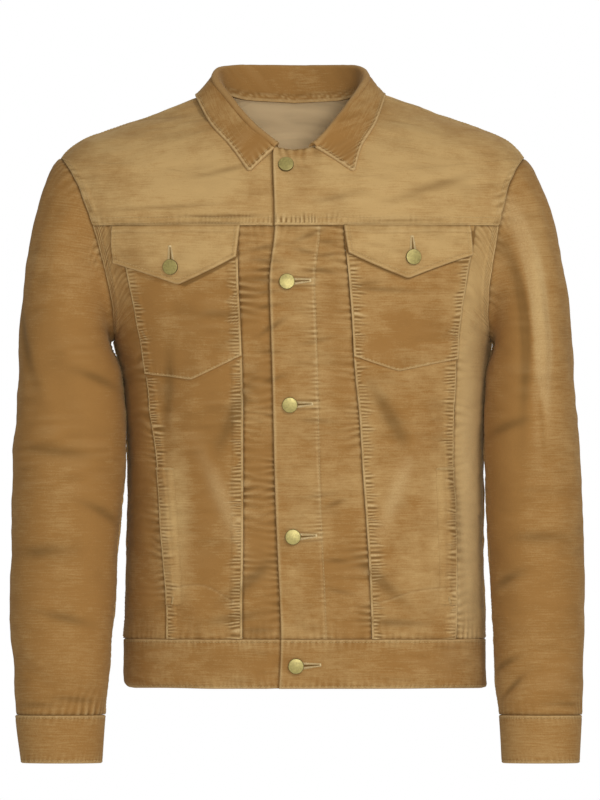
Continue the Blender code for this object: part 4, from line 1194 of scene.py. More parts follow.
def front_centre(side):
    """The strip from the button or buttonhole edge to the first lengthwise seam."""
    heights = panel_rows(FRONT_YOKE_SEAM)
    height = heights[:, None]
    seam, edge = FRONT.read(f"inner_{side}", heights), FRONT.read("edge", heights)
    if side == "left":
        x = between(edge, seam - SEAM_GAP / 2, spaced(0.085, *PLACKET_STEPS))
        cloth = torso_cloth(angle_of(x, height), height, sizes().cloth)
        slack(cloth, 11, 0.0005, 0.022)
        placket_edge(cloth, 21)
        placket_fold(cloth, PLACKET_STITCH, 23)
        under_seam(cloth, "end", 24, pucker=0.00045)
        under_seam(cloth, "top", 25, pucker=0.00012, spacing=0.0075, gathers=0.3)
        buttonhole_folds(cloth)
    else:
        x = between(seam + SEAM_GAP / 2, edge + UNDERLAP, spaced(0.078, *PLACKET_STEPS, at_end=False))
        cloth = torso_cloth(angle_of(x, height), height, sizes().cloth, lap_push(x, height, sizes().cloth))
        slack(cloth, 12, 0.0005, 0.022)
        under_seam(cloth, "start", 26, pucker=0.0006, reach=0.014, spacing=0.0095)
        under_seam(cloth, "top", 27, pucker=0.00015, spacing=0.0075, gathers=0.4)
        edge_gathers(cloth, past_edge(x, height), 31)
        edge_shadow(cloth, past_edge(x, height))
    under_seam(cloth, "bottom", 28 if side == "left" else 29, pucker=0.0003, gathers=0.6, line=0.55)
    finish_cloth("front_centre", cloth, suede(0.36 if side == "left" else 0.14), "front", side)


def placket_edge(cloth, seed):
    """The buttonhole edge: turned over, a little wavy, its fold painted pale for wear and as painted
    highlight.
    """
    away, along = cloth.away["start"], cloth.along["start"]
    cloth.lift += 0.0007 * (1 - ease((away - 0.002) / 0.010))
    cloth.lift += 0.0006 * drift(along / 0.030, away / 0.03, seed) * bell(away, 0.012)
    roll_edge(cloth, "start", 0.0016, 0.0016)
    cloth.wear_and_highlight += 0.35 * bell(away - 0.0022, 0.0014) * (0.7 + 0.5 * drift(along / 0.02, 0, seed + 1))


def placket_fold(cloth, distance, seed):
    """The facing's inner edge shows as a row of stitches down the front, with tufted puckers beside it."""
    away, along = cloth.away["start"] - distance, cloth.along["start"]
    wave = rungs(along, away, 0.0052, seed)
    uneven = 0.60 + 0.5 * drift(along / 0.014, away * 0, seed + 8)
    uneven = np.clip(uneven + 0.6 * drift(along / 0.045, away * 0, seed + 9), 0.15, 1.4)
    inside = uneven * np.exp(-np.abs(away + 0.0015) / (0.0028 + 0.0034 * uneven))
    inside = inside * (1 - 0.6 * ease(away / 0.002))
    cloth.lift += 0.0004 * (1 - ease((away + 0.001) / 0.002)) - 0.0004
    # Painted highlight with wear on the tufts' crests and in a line beside the stitches, painted shade in
    # their troughs and along the row.
    cloth.ripple(wave, inside, 0.00060, 1.0, 0.95)
    cloth.lift -= 0.00030 * bell(away, 0.0008)
    cloth.wear_and_highlight += 0.40 * bell(away + 0.0012, 0.0010)
    cloth.shade += 0.30 * bell(away - 0.0004, 0.0009)
    cloth.stitches.append(("start", distance, 1.0))


def buttonhole_folds(cloth):
    """Two level folds run from each button to the stitch line, where the buttonhole pulls the cloth in."""
    for height, x in FRONT_BUTTONS:
        share = (cloth.base[..., 0] - x - 0.005) / 0.027
        shows = ease(share / 0.15) * (1 - ease((share - 0.80) / 0.30))
        up = cloth.base[..., 2] - height
        for sign, strength in ((-1, 0.7), (1, 1.0)):
            # Each fold is a line of painted shade; the cloth between them is painted pale for wear and
            # highlight.
            line = bell(up - sign * (0.0050 - 0.0016 * share), 0.0010)
            cloth.lift -= 0.0004 * strength * shows * line
            cloth.shade += 0.85 * strength * shows * line
        cloth.wear_and_highlight += 0.45 * shows * bell(up, 0.0030)


def edge_gathers(cloth, into, seed):
    """The under layer's level gathers, drawn in towards the buttoned edge."""
    wave = rungs(cloth.along["start"], into, 0.0078, seed)
    uneven = np.clip(0.55 + 1.0 * drift(cloth.along["start"] / 0.03, into / 0.03, seed + 4), 0, 1.3)
    inside = uneven * np.exp(-np.clip(-into, 0, None) / 0.013) * (into < 0.004)
    # The gathers' crests get painted highlight with wear, their troughs painted shade.
    cloth.ripple(wave, inside, 0.0010, 0.30, 0.85)


def edge_shadow(cloth, into):
    """Painted shadow: the under layer is painted darker where the upper front lies on it."""
    cloth.shade += 1.0 * ease((into + 0.0034) / 0.0026)


def front_mid(side):
    """The panel between the two lengthwise seams, below the flap and under the pocket."""
    heights = panel_rows(FRONT_YOKE_SEAM)
    height = heights[:, None]
    start, end = mid_span(side, heights)
    angle = between(start, end, spaced(*MID_SPACING))
    cloth = torso_cloth(angle, height, sizes().cloth)
    share = (angle - start[:, None]) / (end - start)[:, None]
    pocket_edge = vee(share, POCKET_CORNERS[side], POCKET_POINT[side])
    open_cloth = ease((pocket_edge - 0.0015 - height) / 0.0030)
    seed = 40 if side == "right" else 60
    slack(cloth, seed, 0.0007, 0.034)
    cloth.lift *= 0.25 + 0.75 * open_cloth
    over_seam(cloth, "start", seed + 1, open_cloth, rows=1)
    over_seam(cloth, "end", seed + 8, open_cloth, rows=1)
    under_seam(cloth, "bottom", seed + 16, pucker=0.0003, reach=0.009, gathers=0.55, line=0.55)
    cloth.lift -= 0.0006 * (1 - open_cloth)
    pocket_bag_line(cloth, side, share, seed + 20)
    finish_cloth("front_mid", cloth, suede(MID_TONE[side]), "front", side)


def pocket_bag_line(cloth, side, share, seed):
    """The hand pocket's bag is sewn through the front: a curve from the welt's foot to the inner seam."""
    run = ease(share)
    line = POCKET_BAG_FOOT + POCKET_BAG_RISE * run + POCKET_BAG_BOW[side] * np.sin(run * math.pi)
    away = cloth.height - line
    wave = rungs(cloth.along["bottom"], away, 0.0075, seed)
    near = bell(away, 0.0035)
    cloth.lift += -0.00028 * bell(away, 0.0009) + 0.00018 * wave * near
    # Painted highlight with wear just above the sewn line, and painted shade along it.
    cloth.wear_and_highlight += 0.30 * bell(away + 0.0014, 0.0012) * (0.6 + 0.6 * np.clip(wave, 0, 1))
    cloth.shade += 0.32 * bell(away, 0.0010)


def below_armhole(cloth, edge):
    """The body's side stands out a little where it meets the sleeve under the arm."""
    cloth.lift += 0.0020 * bell(cloth.height - UNDERARM, 0.018) * (1 - ease(cloth.away[edge] / 0.030))


def front_side(side):
    """From the outer seam to the side seam, and above it to the armhole."""
    heights = panel_rows(FRONT_YOKE_SEAM)
    sign = SIDES[side]
    start = seam_angle(side, "outer", heights)
    start = start + 2 * sign * half_gap(start, heights)
    end = sign * armhole_angle(heights)
    end = end - sign * half_gap(end, heights)
    height = heights[:, None]
    cloth = torso_cloth(between(start, end, spaced(0.085, 0.0014, 0.0030)), height, sizes().cloth)
    seed = 80 if side == "right" else 90
    if side == "left":
        cloth.wear_and_highlight += 0.80 * nap_of(FADED_SIDE, cloth.base[..., 0], height)
    slack(cloth, seed, 0.0007, 0.030)
    if side == "left":
        below_armhole(cloth, "end")
    under_seam(cloth, "start", seed + 1, pucker=0.0004)
    armhole = ease((height - ARM_BOTTOM - 0.004) / 0.008)
    over_seam(cloth, "end", seed + 2, armhole, pucker=0.0004, ladder=0.6)
    under_seam(cloth, "end", seed + 4, 1 - armhole, pucker=0.0004)
    under_seam(cloth, "bottom", seed + 5, pucker=0.0003, gathers=0.6, line=0.55)
    under_seam(cloth, "top", seed + 6, pucker=0.0003, gathers=0.5)
    finish_cloth("front_side", cloth, suede(0.26 if side == "right" else 0.70), "front", side)


# ---------------------------------------------------------------- back
def back_seam_x(heights):
    share = (heights - WAIST_SEAM) / (BACK_YOKE_SEAM - WAIST_SEAM)
    return BACK_SEAM_BOTTOM + (BACK_SEAM_TOP - BACK_SEAM_BOTTOM) * share


def back_centre():
    heights = panel_rows(BACK_YOKE_SEAM, *BACK_STEPS)
    reach = back_seam_x(heights) - SEAM_GAP / 2
    start = angle_of(TORSO.read("centre_x", heights) + reach, heights, back=True)
    angle = between(start, 2 * math.pi - start, spaced(0.160, FINE, COARSE))
    cloth = torso_cloth(angle, heights[:, None], sizes().cloth)
    slack(cloth, 100, 0.0008, 0.040)
    over_seam(cloth, "start", 101)
    over_seam(cloth, "end", 111)
    under_seam(cloth, "bottom", 121, pucker=0.0005)
    under_seam(cloth, "top", 122, pucker=0.0004)
    finish_cloth("back_centre", cloth, suede(0.26), "back")


def back_side(side):
    heights = panel_rows(BACK_YOKE_SEAM, *BACK_STEPS)
    middle = TORSO.read("centre_x", heights)
    inner = angle_of(middle + back_seam_x(heights) + SEAM_GAP / 2, heights, back=True)
    outer = armhole_angle(heights, back=True)
    outer = outer + half_gap(outer, heights)
    angle = SIDES[side] * between(outer, inner, spaced(0.130, FINE, COARSE))
    cloth = torso_cloth(angle, heights[:, None], sizes().cloth)
    seed = 130 if side == "right" else 150
    slack(cloth, seed, 0.0008, 0.036)
    if side == "left":
        below_armhole(cloth, "start")
    over_seam(cloth, "start", seed + 1)
    under_seam(cloth, "end", seed + 10, pucker=0.0004)
    under_seam(cloth, "bottom", seed + 11, pucker=0.0005)
    under_seam(cloth, "top", seed + 12, pucker=0.0004)
    finish_cloth("back_side", cloth, suede(0.24), "back", side)


# ---------------------------------------------------------------- yokes
ROWS_PER_STEP = 8  # rows for each step of the armhole
SHOULDER_ROWS = 48
YOKE_FELL = 0.0085
FACING_FIRST_ROW = 32
FACING_INSET = 0.16  # of the yoke's width, left bare at each side
FACING_THICKNESS = 0.0012


def yoke_rows(seam_step):
    """Heights up the armhole and then along the shoulder seam to the neck."""
    steps = (ARM_STEPS - seam_step) * ROWS_PER_STEP
    up_armhole = arm_height(seam_step + np.arange(steps + 1) / ROWS_PER_STEP)
    along_shoulder = np.linspace(ARM_TOP, NECK_SIDE, SHOULDER_ROWS + (-steps) % INNER_STEP + 1)[1:]
    return np.concatenate([up_armhole, along_shoulder])


def yoke_heights(rows, seam, neck):
    share = (rows - seam) / (NECK_SIDE - seam)
    heights = seam + share[:, None] * (neck - seam)[None, :]
    heights[0] += SEAM_GAP / 2
    return heights


def front_yoke(side):
    sign = SIDES[side]
    rows = yoke_rows(FRONT_YOKE_STEP)
    outer = sign * armhole_angle(rows)
    outer = outer - sign * half_gap(outer, rows)
    start_neck = float(NECK.read("height", 0.0))
    share = (rows - FRONT_YOKE_SEAM) / (NECK_SIDE - FRONT_YOKE_SEAM)
    start_heights = FRONT_YOKE_SEAM + share * (start_neck - FRONT_YOKE_SEAM)
    edge = FRONT.read("edge", start_heights)
    lap = 0.0 if side == "left" else UNDERLAP
    angle = between(angle_of(edge + lap, start_heights), outer, spaced(0.245, FINE * 1.3, 0.0022))
    neck = NECK.read("height", np.degrees(np.abs(angle[-1])))
    height = yoke_heights(rows, FRONT_YOKE_SEAM, neck)
    out = lap_push(smooth_torso(angle, height)[..., 0], height, sizes().cloth) if side == "right" else 0.0
    cloth = torso_cloth(angle, height, sizes().cloth, out)
    seed = 170 if side == "right" else 190
    slack(cloth, seed, 0.0007, 0.034)
    x = cloth.base[..., 0]
    inner_part = 1.0
    if side == "left":
        placket_edge(cloth, seed + 1)
    else:
        inner_part = 1 - ease((past_edge(x, height) + 0.004) / 0.002)
        edge_shadow(cloth, past_edge(x, height[:, :1]))
    beside_placket = 0.16 + 0.75 * bell(past_edge(x, height) - 0.022, 0.034)
    over_seam(cloth, "bottom", seed + 2, inner_part, width=YOKE_FELL, pucker=0.00045, rung=0.0046,
              ladder=beside_placket)
    yoke_armhole(cloth, "end", seed + 12)
    under_seam(cloth, "top", seed + 16, pucker=0.0002)
    finish_cloth("front_yoke", cloth, suede(0.60), "front", side, "yoke_front")


def yoke_armhole(cloth, edge, seed):
    """The yoke's edge lies on the sleeve's seam up to just below the shoulder."""
    below_shoulder = ease((cloth.away["top"] - 0.004) / 0.006)
    over_seam(cloth, edge, seed, below_shoulder, pucker=0.0003, ladder=0.45)


def back_yoke_grid():
    rows = yoke_rows(BACK_YOKE_STEP)
    outer = armhole_angle(rows, back=True)
    outer = outer + half_gap(outer, rows)
    angle = between(outer, 2 * math.pi - outer, spaced(0.500, 0.0014, 0.0036))
    neck = NECK.read("height", 180 - np.abs(180 - np.degrees(angle[-1])))
    return angle, yoke_heights(rows, BACK_YOKE_SEAM, neck)


def back_yoke():
    angle, height = back_yoke_grid()
    cloth = torso_cloth(angle, height, sizes().cloth)
    slack(cloth, 210, 0.0008, 0.040)
    over_seam(cloth, "bottom", 211, width=YOKE_FELL, pucker=0.00036, rung=0.0050, ladder=0.5)
    yoke_armhole(cloth, "start", 221)
    yoke_armhole(cloth, "end", 231)
    under_seam(cloth, "top", 241, pucker=0.0002)
    finish_cloth("back_yoke", cloth, suede(0.46), "back", node_name="yoke_back")


def back_facing():
    """The smooth facing inside the back yoke, which shows through the neck."""
    angle, height = back_yoke_grid()
    inset = INNER_STEP * round(angle.shape[1] * FACING_INSET / INNER_STEP)
    part = (slice(FACING_FIRST_ROW, None), slice(inset, angle.shape[1] - inset))
    points, normals = torso_surface(angle[part], height[part])
    base = points - normals * (sizes().cloth + SEAM_GAP + FACING_THICKNESS)
    cloth = Cloth(base, -normals, FACING_THICKNESS)
    slack(cloth, 250, 0.0003, 0.050)
    cloth.lift = np.clip(cloth.lift, -0.0002, 0.0006)
    # Painted light: the facing's nap is raised and its material gets a high tone, so that it looks lit inside
    # the neck.
    cloth.nap += 0.25
    finish_cloth("back_facing", cloth, suede(0.90, smooth=True), "back", slot="suede_light")


# ---------------------------------------------------------------- collar
def clear_of_torso(points, clearance):
    """Moves points out until they clear the torso, evenly from one section of the collar to the next."""
    height = points[..., 2]
    out = points[..., 0] - TORSO.read("centre_x", height)
    angle = np.arctan2(out, -points[..., 1])
    normal = torso_normal(angle, height)
    beyond = np.hypot(out, points[..., 1]) - torso_reach(angle, height)
    radial = np.stack([np.sin(angle), -np.cos(angle), np.zeros_like(angle)], axis=-1)
    distance = beyond * np.sum(radial * normal, axis=-1)
    short = np.clip(clearance - distance, 0, None) * ease((NECK_SIDE + 0.001 - height) / 0.004)
    for _ in range(4):
        padded = np.pad(short, ((1, 1), (0, 0)), mode="edge")
        short = np.maximum(short, (padded[:-2] + padded[2:]) / 2)
    return points + normal * short[..., None]


def neckline(degrees, sign):
    return smooth_torso(sign * np.radians(degrees), NECK.read("height", degrees))


def collar_section(along, sign, stand_steps, bend_steps, fall_steps):
    """The collar's middle line in one section, from its seam up to the roll and down to its edge."""
    row = {name: float(COLLAR.read(name, along)) for name in COLLAR_COLUMNS}
    degrees = row["neck_angle"]
    seam = neckline(degrees, sign)
    normal = torso_normal(sign * math.radians(degrees), NECK.read("height", degrees))
    along_seam = neckline(min(degrees + 2, 180), sign) - neckline(degrees - 2, sign)
    inwards = unit(np.cross(along_seam, normal))
    inwards *= math.copysign(1, np.dot(inwards, NECK_MIDDLE - seam))
    behind = ease((degrees - 50) / 40)
    room = SEAM_GAP + sizes().doubled / 2 + COLLAR_SEAM_ROOM + 0.0010 * behind
    base = seam + inwards * room - normal * sizes().cloth - np.array([0, 0, STAND_DROP * behind])
    roll, edge = (np.array([COLLAR_CENTRE_X + row[f"{line}_shift"] + sign * row[f"{line}_x"],
                            row[f"{line}_y"], row[f"{line}_z"]]) for line in ("roll", "edge"))
    up = unit(roll - base)
    out = edge - roll
    out = unit(out - up * np.dot(out, up))
    turn = roll + (out - up) * COLLAR_FOLD_RADIUS
    top = turn - out * COLLAR_FOLD_RADIUS
    stand = [base + (top - base) * share for share in np.arange(stand_steps) / stand_steps]
    bend = [turn + COLLAR_FOLD_RADIUS * (-out * math.cos(a) + up * math.sin(a))
            for a in np.linspace(0, math.pi, bend_steps + 1)]
    fall = [bend[-1] + (edge - bend[-1]) * share for share in np.arange(1, fall_steps + 1) / fall_steps]
    return np.array(stand + bend + fall)


def grid_normals(points, closed=False):
    if closed:
        across = np.roll(points, -1, axis=1) - np.roll(points, 1, axis=1)
    else:
        across = np.gradient(points, axis=1)
    return unit(np.cross(across, np.gradient(points, axis=0)))


def collar():
    steps = (18, 10, 36)
    half = 0.35 * np.linspace(0, 1, 97) + 0.65 * np.sin(np.linspace(0, math.pi / 2, 97))
    right = [collar_section(along, -1, *steps) for along in half[::-1]]
    left = [collar_section(along, 1, *steps) for along in half[1:]]
    middle = np.array(right + left)
    roll = steps[0] + steps[1] // 2
    first = steps[0] + steps[1]
    thick = sizes().doubled
    for _ in range(4):
        middle[:, first:] = clear_of_torso(middle[:, first:], thick / 2 + COLLAR_CLEARANCE)
        middle[1:-1, first:] = (middle[:-2, first:] + 2 * middle[1:-1, first:] + middle[2:, first:]) / 4
    soften_points(middle)
    normals = -grid_normals(middle)
    for _ in range(4):
        normals[1:-1] = (normals[:-2] + 2 * normals[1:-1] + normals[2:]) / 4
    normals = unit(normals)
    cloth = Cloth(middle + normals * thick / 2, normals, thick)
    fall = np.broadcast_to(np.arange(middle.shape[1]) >= first, middle.shape[:2])
    slack(cloth, 260, 0.0004, 0.030)
    cloth.lift = np.clip(cloth.lift, -0.0003, 0.0008)
    for edge, seed, part in (("end", 261, 1.0), ("bottom", 265, fall * 1.0), ("top", 269, fall * 1.0)):
        turned_edge(cloth, edge, seed, "collar", part)
        round_edge(cloth, edge, 0.0012, shows=part)
        cloth.lift += part * 0.0004 * bell(cloth.away[edge] - 0.0016, 0.0014)
    from_roll = cloth.along["bottom"] - cloth.along["bottom"][:, roll:roll + 1]
    # The roll is painted pale, partly wear and partly painted highlight.
    cloth.wear_and_highlight += 0.30 * bell(from_roll, 0.004)
    stand_edge(cloth, ~fall)
    cloth.nap += np.where(fall, -0.04, -0.22)
    cloth.nap += 1.3 * nap_of(COLLAR_NAP, middle[..., 0], middle[..., 2]) * fall
    finish_cloth("collar", cloth, suede(0.16), "collar", stitch=COLLAR_STITCH, step=2, turned=True)


def soften_points(middle, radius=0.0055):
    """Rounds the collar's two points."""
    for end, beside in ((0, 1), (-1, -2)):
        edge_step = unit(middle[beside, -1] - middle[end, -1])
        front_step = unit(middle[end, -2] - middle[end, -1])
        across = np.linalg.norm(middle - middle[end:end + 1 or None, :], axis=2)
        down = np.linalg.norm(middle - middle[:, -1:], axis=2)
        pull = (np.clip(1 - across / radius, 0, 1) * np.clip(1 - down / radius, 0, 1)) ** 1.5
        middle += (edge_step + front_step) * (0.29 * radius * pull)[..., None]


def stand_edge(cloth, stand):
    """The stand's seam inside the neck: a turned edge painted pale for wear and highlight, small puckers
    beside it, and a line of painted shade beyond them.
    """
    away, along = cloth.away["start"], cloth.along["start"]
    wave = rungs(along, away, 0.0042, 281)
    near = stand * bell(away - 0.0050, 0.0042)
    cloth.ripple(wave, near, -0.0003, 0.6, 0.5)
    cloth.wear_and_highlight += stand * 0.75 * bell(away - 0.0012, 0.0014)
    cloth.shade += stand * 0.35 * bell(away - 0.0085, 0.0016)


# ---------------------------------------------------------------- waistband
def waistband():
    doubled = sizes().doubled
    heights = HEM + (WAIST_SEAM - SEAM_GAP / 2 - HEM) * spaced(0.052, FINE, 0.0018)
    height = heights[:, None]
    edge = FRONT.read("edge", heights)
    end = 2 * math.pi + angle_of(edge + UNDERLAP, heights)
    angle = between(angle_of(edge, heights), end, spaced(1.02, 0.0020, 0.0022, at_end=False))
    x = smooth_torso(angle, height)[..., 0]
    under = (angle > 1.5 * math.pi) * 1.0
    out = BAND_PROUD + lap_push(x, height, doubled, BAND_LAP_SPARE) * under
    cloth = torso_cloth(angle, height, doubled, out)
    slack(cloth, 300, 0.0005, 0.030)
    covered = under * ease((past_edge(x, height) + 0.003) / 0.003)
    for edge_name, seed in (("top", 301), ("bottom", 305)):
        turned_edge(cloth, edge_name, seed, "waistband", 1 - covered)
        round_edge(cloth, edge_name, 0.0014)
    for turn, radius in ((1.5 * math.pi, 0.0095), (0.5 * math.pi, 0.0045)):
        into = np.clip(radius - cloth.away["bottom"], 0, radius)
        cloth.lift -= (radius - np.sqrt(radius**2 - into**2)) * ease((np.cos(angle - turn) - 0.72) / 0.22)
    placket_edge(cloth, 309)
    # Painted shadow where the left front lies over the band.
    cloth.shade += 0.5 * covered
    finish_cloth("waistband", cloth, suede(0.22), "band")


# ---------------------------------------------------------------- pockets
def vee_line(columns, corners, point):
    """A lower edge that comes to a slightly blunt point, as heights over the piece's columns."""
    soft = 0.02
    across = columns[:, None] + np.linspace(-soft, soft, 9)[None, :]
    return vee(np.clip(across, 0, 1), corners, point).mean(axis=1)


def level_along(cloth):
    """Puckers and ribs run level over a piece whose own rows slope."""
    cloth.along["start"] = cloth.along["end"] = cloth.height - cloth.height.min()


def chest_pocket(side):
    columns = spaced(0.105, FINE, 0.0020)
    lower = vee_line(columns, POCKET_CORNERS[side], POCKET_POINT[side])
    top = FRONT_YOKE_SEAM - 0.006
    shares = spaced(0.140, FINE, FINE * 1.3, at_end=False)
    height = lower[None, :] + (top - lower)[None, :] * shares[:, None]
    start, end = mid_span(side, height)
    angle = start + (end - start) * columns[None, :]
    cloth = torso_cloth(angle, height, POCKET_CLOTH, SEAM_GAP + POCKET_CLOTH)
    level_along(cloth)
    seed = 320 if side == "right" else 350
    slack(cloth, seed, 0.0005, 0.030)
    flap = vee(columns, FLAP_CORNERS[side], FLAP_POINT[side])[None, :]
    shows = ease((flap + 0.001 - height) / 0.0025)
    cloth.lift *= shows
    for edge, seam_seed in (("start", seed + 1), ("end", seed + 9)):
        over_seam(cloth, edge, seam_seed, shows, rise=0.0005, pucker=0.00055, rows=1)
    roll_edge(cloth, "bottom", 0.0012, 0.0012)
    turned_edge(cloth, "bottom", seed + 20, "chest_pocket")
    # Painted shadow just under the flap's lower edge.
    cloth.shade += 1.1 * ease((height - flap + 0.0030) / 0.0022)
    finish_cloth("chest_pocket", cloth, suede(0.20), "front", side)


def pocket_flap(side):
    columns = spaced(0.128, 0.0010, 0.0017)
    top = FRONT_YOKE_SEAM - SEAM_GAP / 2
    lower = vee_line(columns, FLAP_CORNERS[side], FLAP_POINT[side])
    shares = spaced(0.055, 0.0010, 0.0014)
    height = lower[None, :] + (top - lower)[None, :] * shares[:, None]
    edges = dict(zip(FLAP_EDGE_COLUMNS, FLAP_EDGES[side]))
    up = shares[:, None]
    inner = edges["inner_bottom"] + (edges["inner_top"] - edges["inner_bottom"]) * up
    outer = edges["outer_bottom"] + (edges["outer_top"] - edges["outer_bottom"]) * up
    start, end = seam_angle(side, "inner", height), seam_angle(side, "outer", height)
    angle = start + (end - start) * (inner + (outer - inner) * columns[None, :])
    stack = SEAM_GAP + POCKET_CLOTH + FLAP_ROOM + sizes().cloth
    cloth = torso_cloth(angle, height, sizes().cloth, stack + FLAP_LIFT * (1 - up))
    level_along(cloth)
    seed = 380 if side == "right" else 400
    slack(cloth, seed, 0.0005, 0.020)
    cloth.lift = np.clip(cloth.lift, -0.0003, 0.0009)
    between_ends = (np.minimum(cloth.away["start"], cloth.away["end"]) > 0.0045) * 1.0
    for edge, part in (("bottom", between_ends), ("start", 1.0), ("end", 1.0)):
        roll_edge(cloth, edge, 0.0014, 0.0015)
        away = cloth.away[edge]
        groove = bell(away - FLAP_STITCH_IN, 0.0008)
        cloth.lift += 0.0003 * bell(away - 0.0022, 0.0018) - 0.00024 * groove
        # Painted shade in the stitched groove.
        cloth.shade += 0.14 * groove
        cloth.stitches.append((edge, FLAP_STITCH_IN, part))
    under_seam(cloth, "top", seed + 3, pucker=0.00008, spacing=0.011, gathers=0.12, line=0.6)
    ridge = cloth.away["top"] - 0.0060 - 0.0012 * drift(cloth.along["top"] / 0.03, 0, seed + 4)
    # A ridge below the seam, with painted highlight and wear on it and painted shade just below it.
    cloth.lift += 0.0005 * bell(ridge, 0.0016)
    cloth.shade += 0.22 * bell(ridge - 0.0016, 0.0010)
    cloth.wear_and_highlight += 0.20 * bell(ridge, 0.0010)
    finish_cloth("pocket_flap", cloth, suede(0.62), "front", side)


def between_points(grid, rows, columns):
    """A grid's values at fractional rows and columns."""
    i = np.minimum(rows.astype(int), grid.shape[0] - 2)
    j = np.minimum(columns.astype(int), grid.shape[1] - 2)
    up, across = (rows - i)[:, None], (columns - j)[None, :]
    i, j = i[:, None], j[None, :]
    low = grid[i, j] * (1 - across) + grid[i, j + 1] * across
    high = grid[i + 1, j] * (1 - across) + grid[i + 1, j + 1] * across
    return low * (1 - up) + high * up


def hand_pocket_welt(side):
    """The pocket's mouth along the outer seam: its free end runs out flush with the panel that it lies on."""
    low, high = WELT_HEIGHTS
    heights = rows_between(low, high, FINE, FINE * 1.2)
    shares = WELT_INNER_SHARE + (1 - WELT_INNER_SHARE) * spaced(0.022, FINE, FINE)
    angle = between(*mid_span(side, heights), shares)
    under = PANELS[f"front_mid_{side}"]
    rows = np.interp(heights, under.height[:, 0], np.arange(under.height.shape[0]))
    columns = np.interp(shares, spaced(*MID_SPACING), np.arange(under.height.shape[1]))
    cloth = Cloth(*torso_surface(angle, heights[:, None]), POCKET_CLOTH)
    cloth.inside = between_points(under.lift, rows, columns) + 0.0001
    flush = 1 - ease((cloth.away["start"] - 0.0010) / 0.0070)
    cloth.lift = cloth.inside + 0.0002 + 0.0012 * (1 - flush)
    round_edge(cloth, "top", 0.0011, 0.0009)
    for key in WEAR_SHADE_AND_NAP_MARKS:
        setattr(cloth, key, between_points(getattr(under, key), rows, columns))
    top = cloth.away["top"]
    # The welt's top fold is painted pale for wear and highlight, with a line of painted shade below it.
    cloth.wear_and_highlight += (1 - flush) * (0.5 * bell(top - 0.0012, 0.0010))
    cloth.shade += (1 - flush) * 0.35 * bell(top - 0.0042, 0.0010)
    cloth.stitches = [("end", STITCH_IN, 1.0)]
    finish_cloth("hand_pocket_welt", cloth, suede(MID_TONE[side]), "front", side, held="laid",
                 rests_on=[f"front_mid_cloth_{side}"])


# ---------------------------------------------------------------- sleeves and cuffs
def sleeve_ring(side, height, bearing):
    """Points of a level section. The bearing is 0 at the inner side and a quarter turn at the front."""
    outer, inner = SLEEVE.read(f"outer_{side}", height), SLEEVE.read(f"inner_{side}", height)
    power = 2 / SLEEVE_ROUNDNESS
    across, forwards = np.cos(bearing), np.sin(bearing)
    x = (outer + inner) / 2 - (outer - inner) / 2 * np.sign(across) * np.abs(across) ** power
    depth = SLEEVE.read("half_depth", height) * np.sign(forwards) * np.abs(forwards) ** power
    return np.stack(np.broadcast_arrays(x, SLEEVE.read("middle_y", height) - depth, height), axis=-1)


RING_FINE = 6  # columns of the sleeve for each step of the armhole
CAP_ROWS = 72
ARM_ROWS = 120
SLEEVE_SEAM_SEEDS = {"upper": (3, 6), "under": (8, 7)}
CUFF_START = 1.60 * math.pi  # the bearing of the end that lies underneath
CUFF_LAP = 0.30


def armhole_ring(side):
    """(points, torso normals, leaving directions, shares) of the sleeve's seam, round from the armpit."""
    count = 2 * ARM_STEPS * RING_FINE
    index = np.arange(count)
    steps = np.where(index <= count // 2, index, count - index) / RING_FINE
    height = arm_height(steps)
    behind = index > count // 2
    angle = SIDES[side] * np.where(behind, armhole_angle(height, back=True), armhole_angle(height))
    points, normals = torso_surface(angle, height)
    centre = points.mean(axis=0)
    along = np.roll(points, -RING_FINE, axis=0) - np.roll(points, RING_FINE, axis=0)
    into = unit(np.cross(along, normals))
    into *= np.sign(np.sum(into * (centre - points), axis=1))[:, None]
    share = steps / ARM_STEPS
    outward = (1 - share + CAP_OUTWARD * share**3)[:, None]
    leaving = unit(normals * outward + into * (0.1 + 0.9 * share)[:, None])
    return points + into * SEAM_GAP, normals, leaving, share


def sleeve_grid(side):
    """(points, normals, bearings) of the whole sleeve tube, from the armhole down to the cuff's seam."""
    start, seam_normals, leaving, share = armhole_ring(side)
    count = len(start)
    bearing = 2 * np.pi * np.arange(count) / count
    first = sleeve_ring(side, np.full(bearing.shape, SLEEVE_START), bearing)
    length = np.linalg.norm(first - start, axis=1)[:, None]
    lead = start + leaving * (CAP_LEAD_UNDER + CAP_LEAD_OVER * np.sqrt(share))[:, None]
    follow = first + np.array([0, 0, CAP_FOLLOW]) * length
    t = np.linspace(0, 1, CAP_ROWS + 1)[:, None, None]
    cap = (1 - t) ** 3 * start + 3 * t * (1 - t) ** 2 * lead + 3 * t**2 * (1 - t) * follow + t**3 * first
    levels = np.linspace(SLEEVE_START, SLEEVE_END, ARM_ROWS + 1)[1:, None]
    arm = sleeve_ring(side, np.broadcast_to(levels, (len(levels), count)), bearing[None, :])
    smooth = np.vstack([cap, arm])
    normals = -SIDES[side] * grid_normals(smooth, closed=True)
    blend = ease(np.arange(len(smooth)) / 10)[:, None, None]
    normals = unit(normals * blend + seam_normals[None] * (1 - blend))
    around = np.broadcast_to(bearing * SLEEVE_MEAN_RADIUS, smooth.shape[:2])
    rise = fold_rise(SLEEVE_FOLDS[side], around, smooth[..., 2])
    rise *= ease(np.arange(len(smooth)) / 8)[:, None] * ease(np.arange(len(smooth))[::-1] / 8)[:, None]
    return smooth + normals * rise[..., None], normals, around


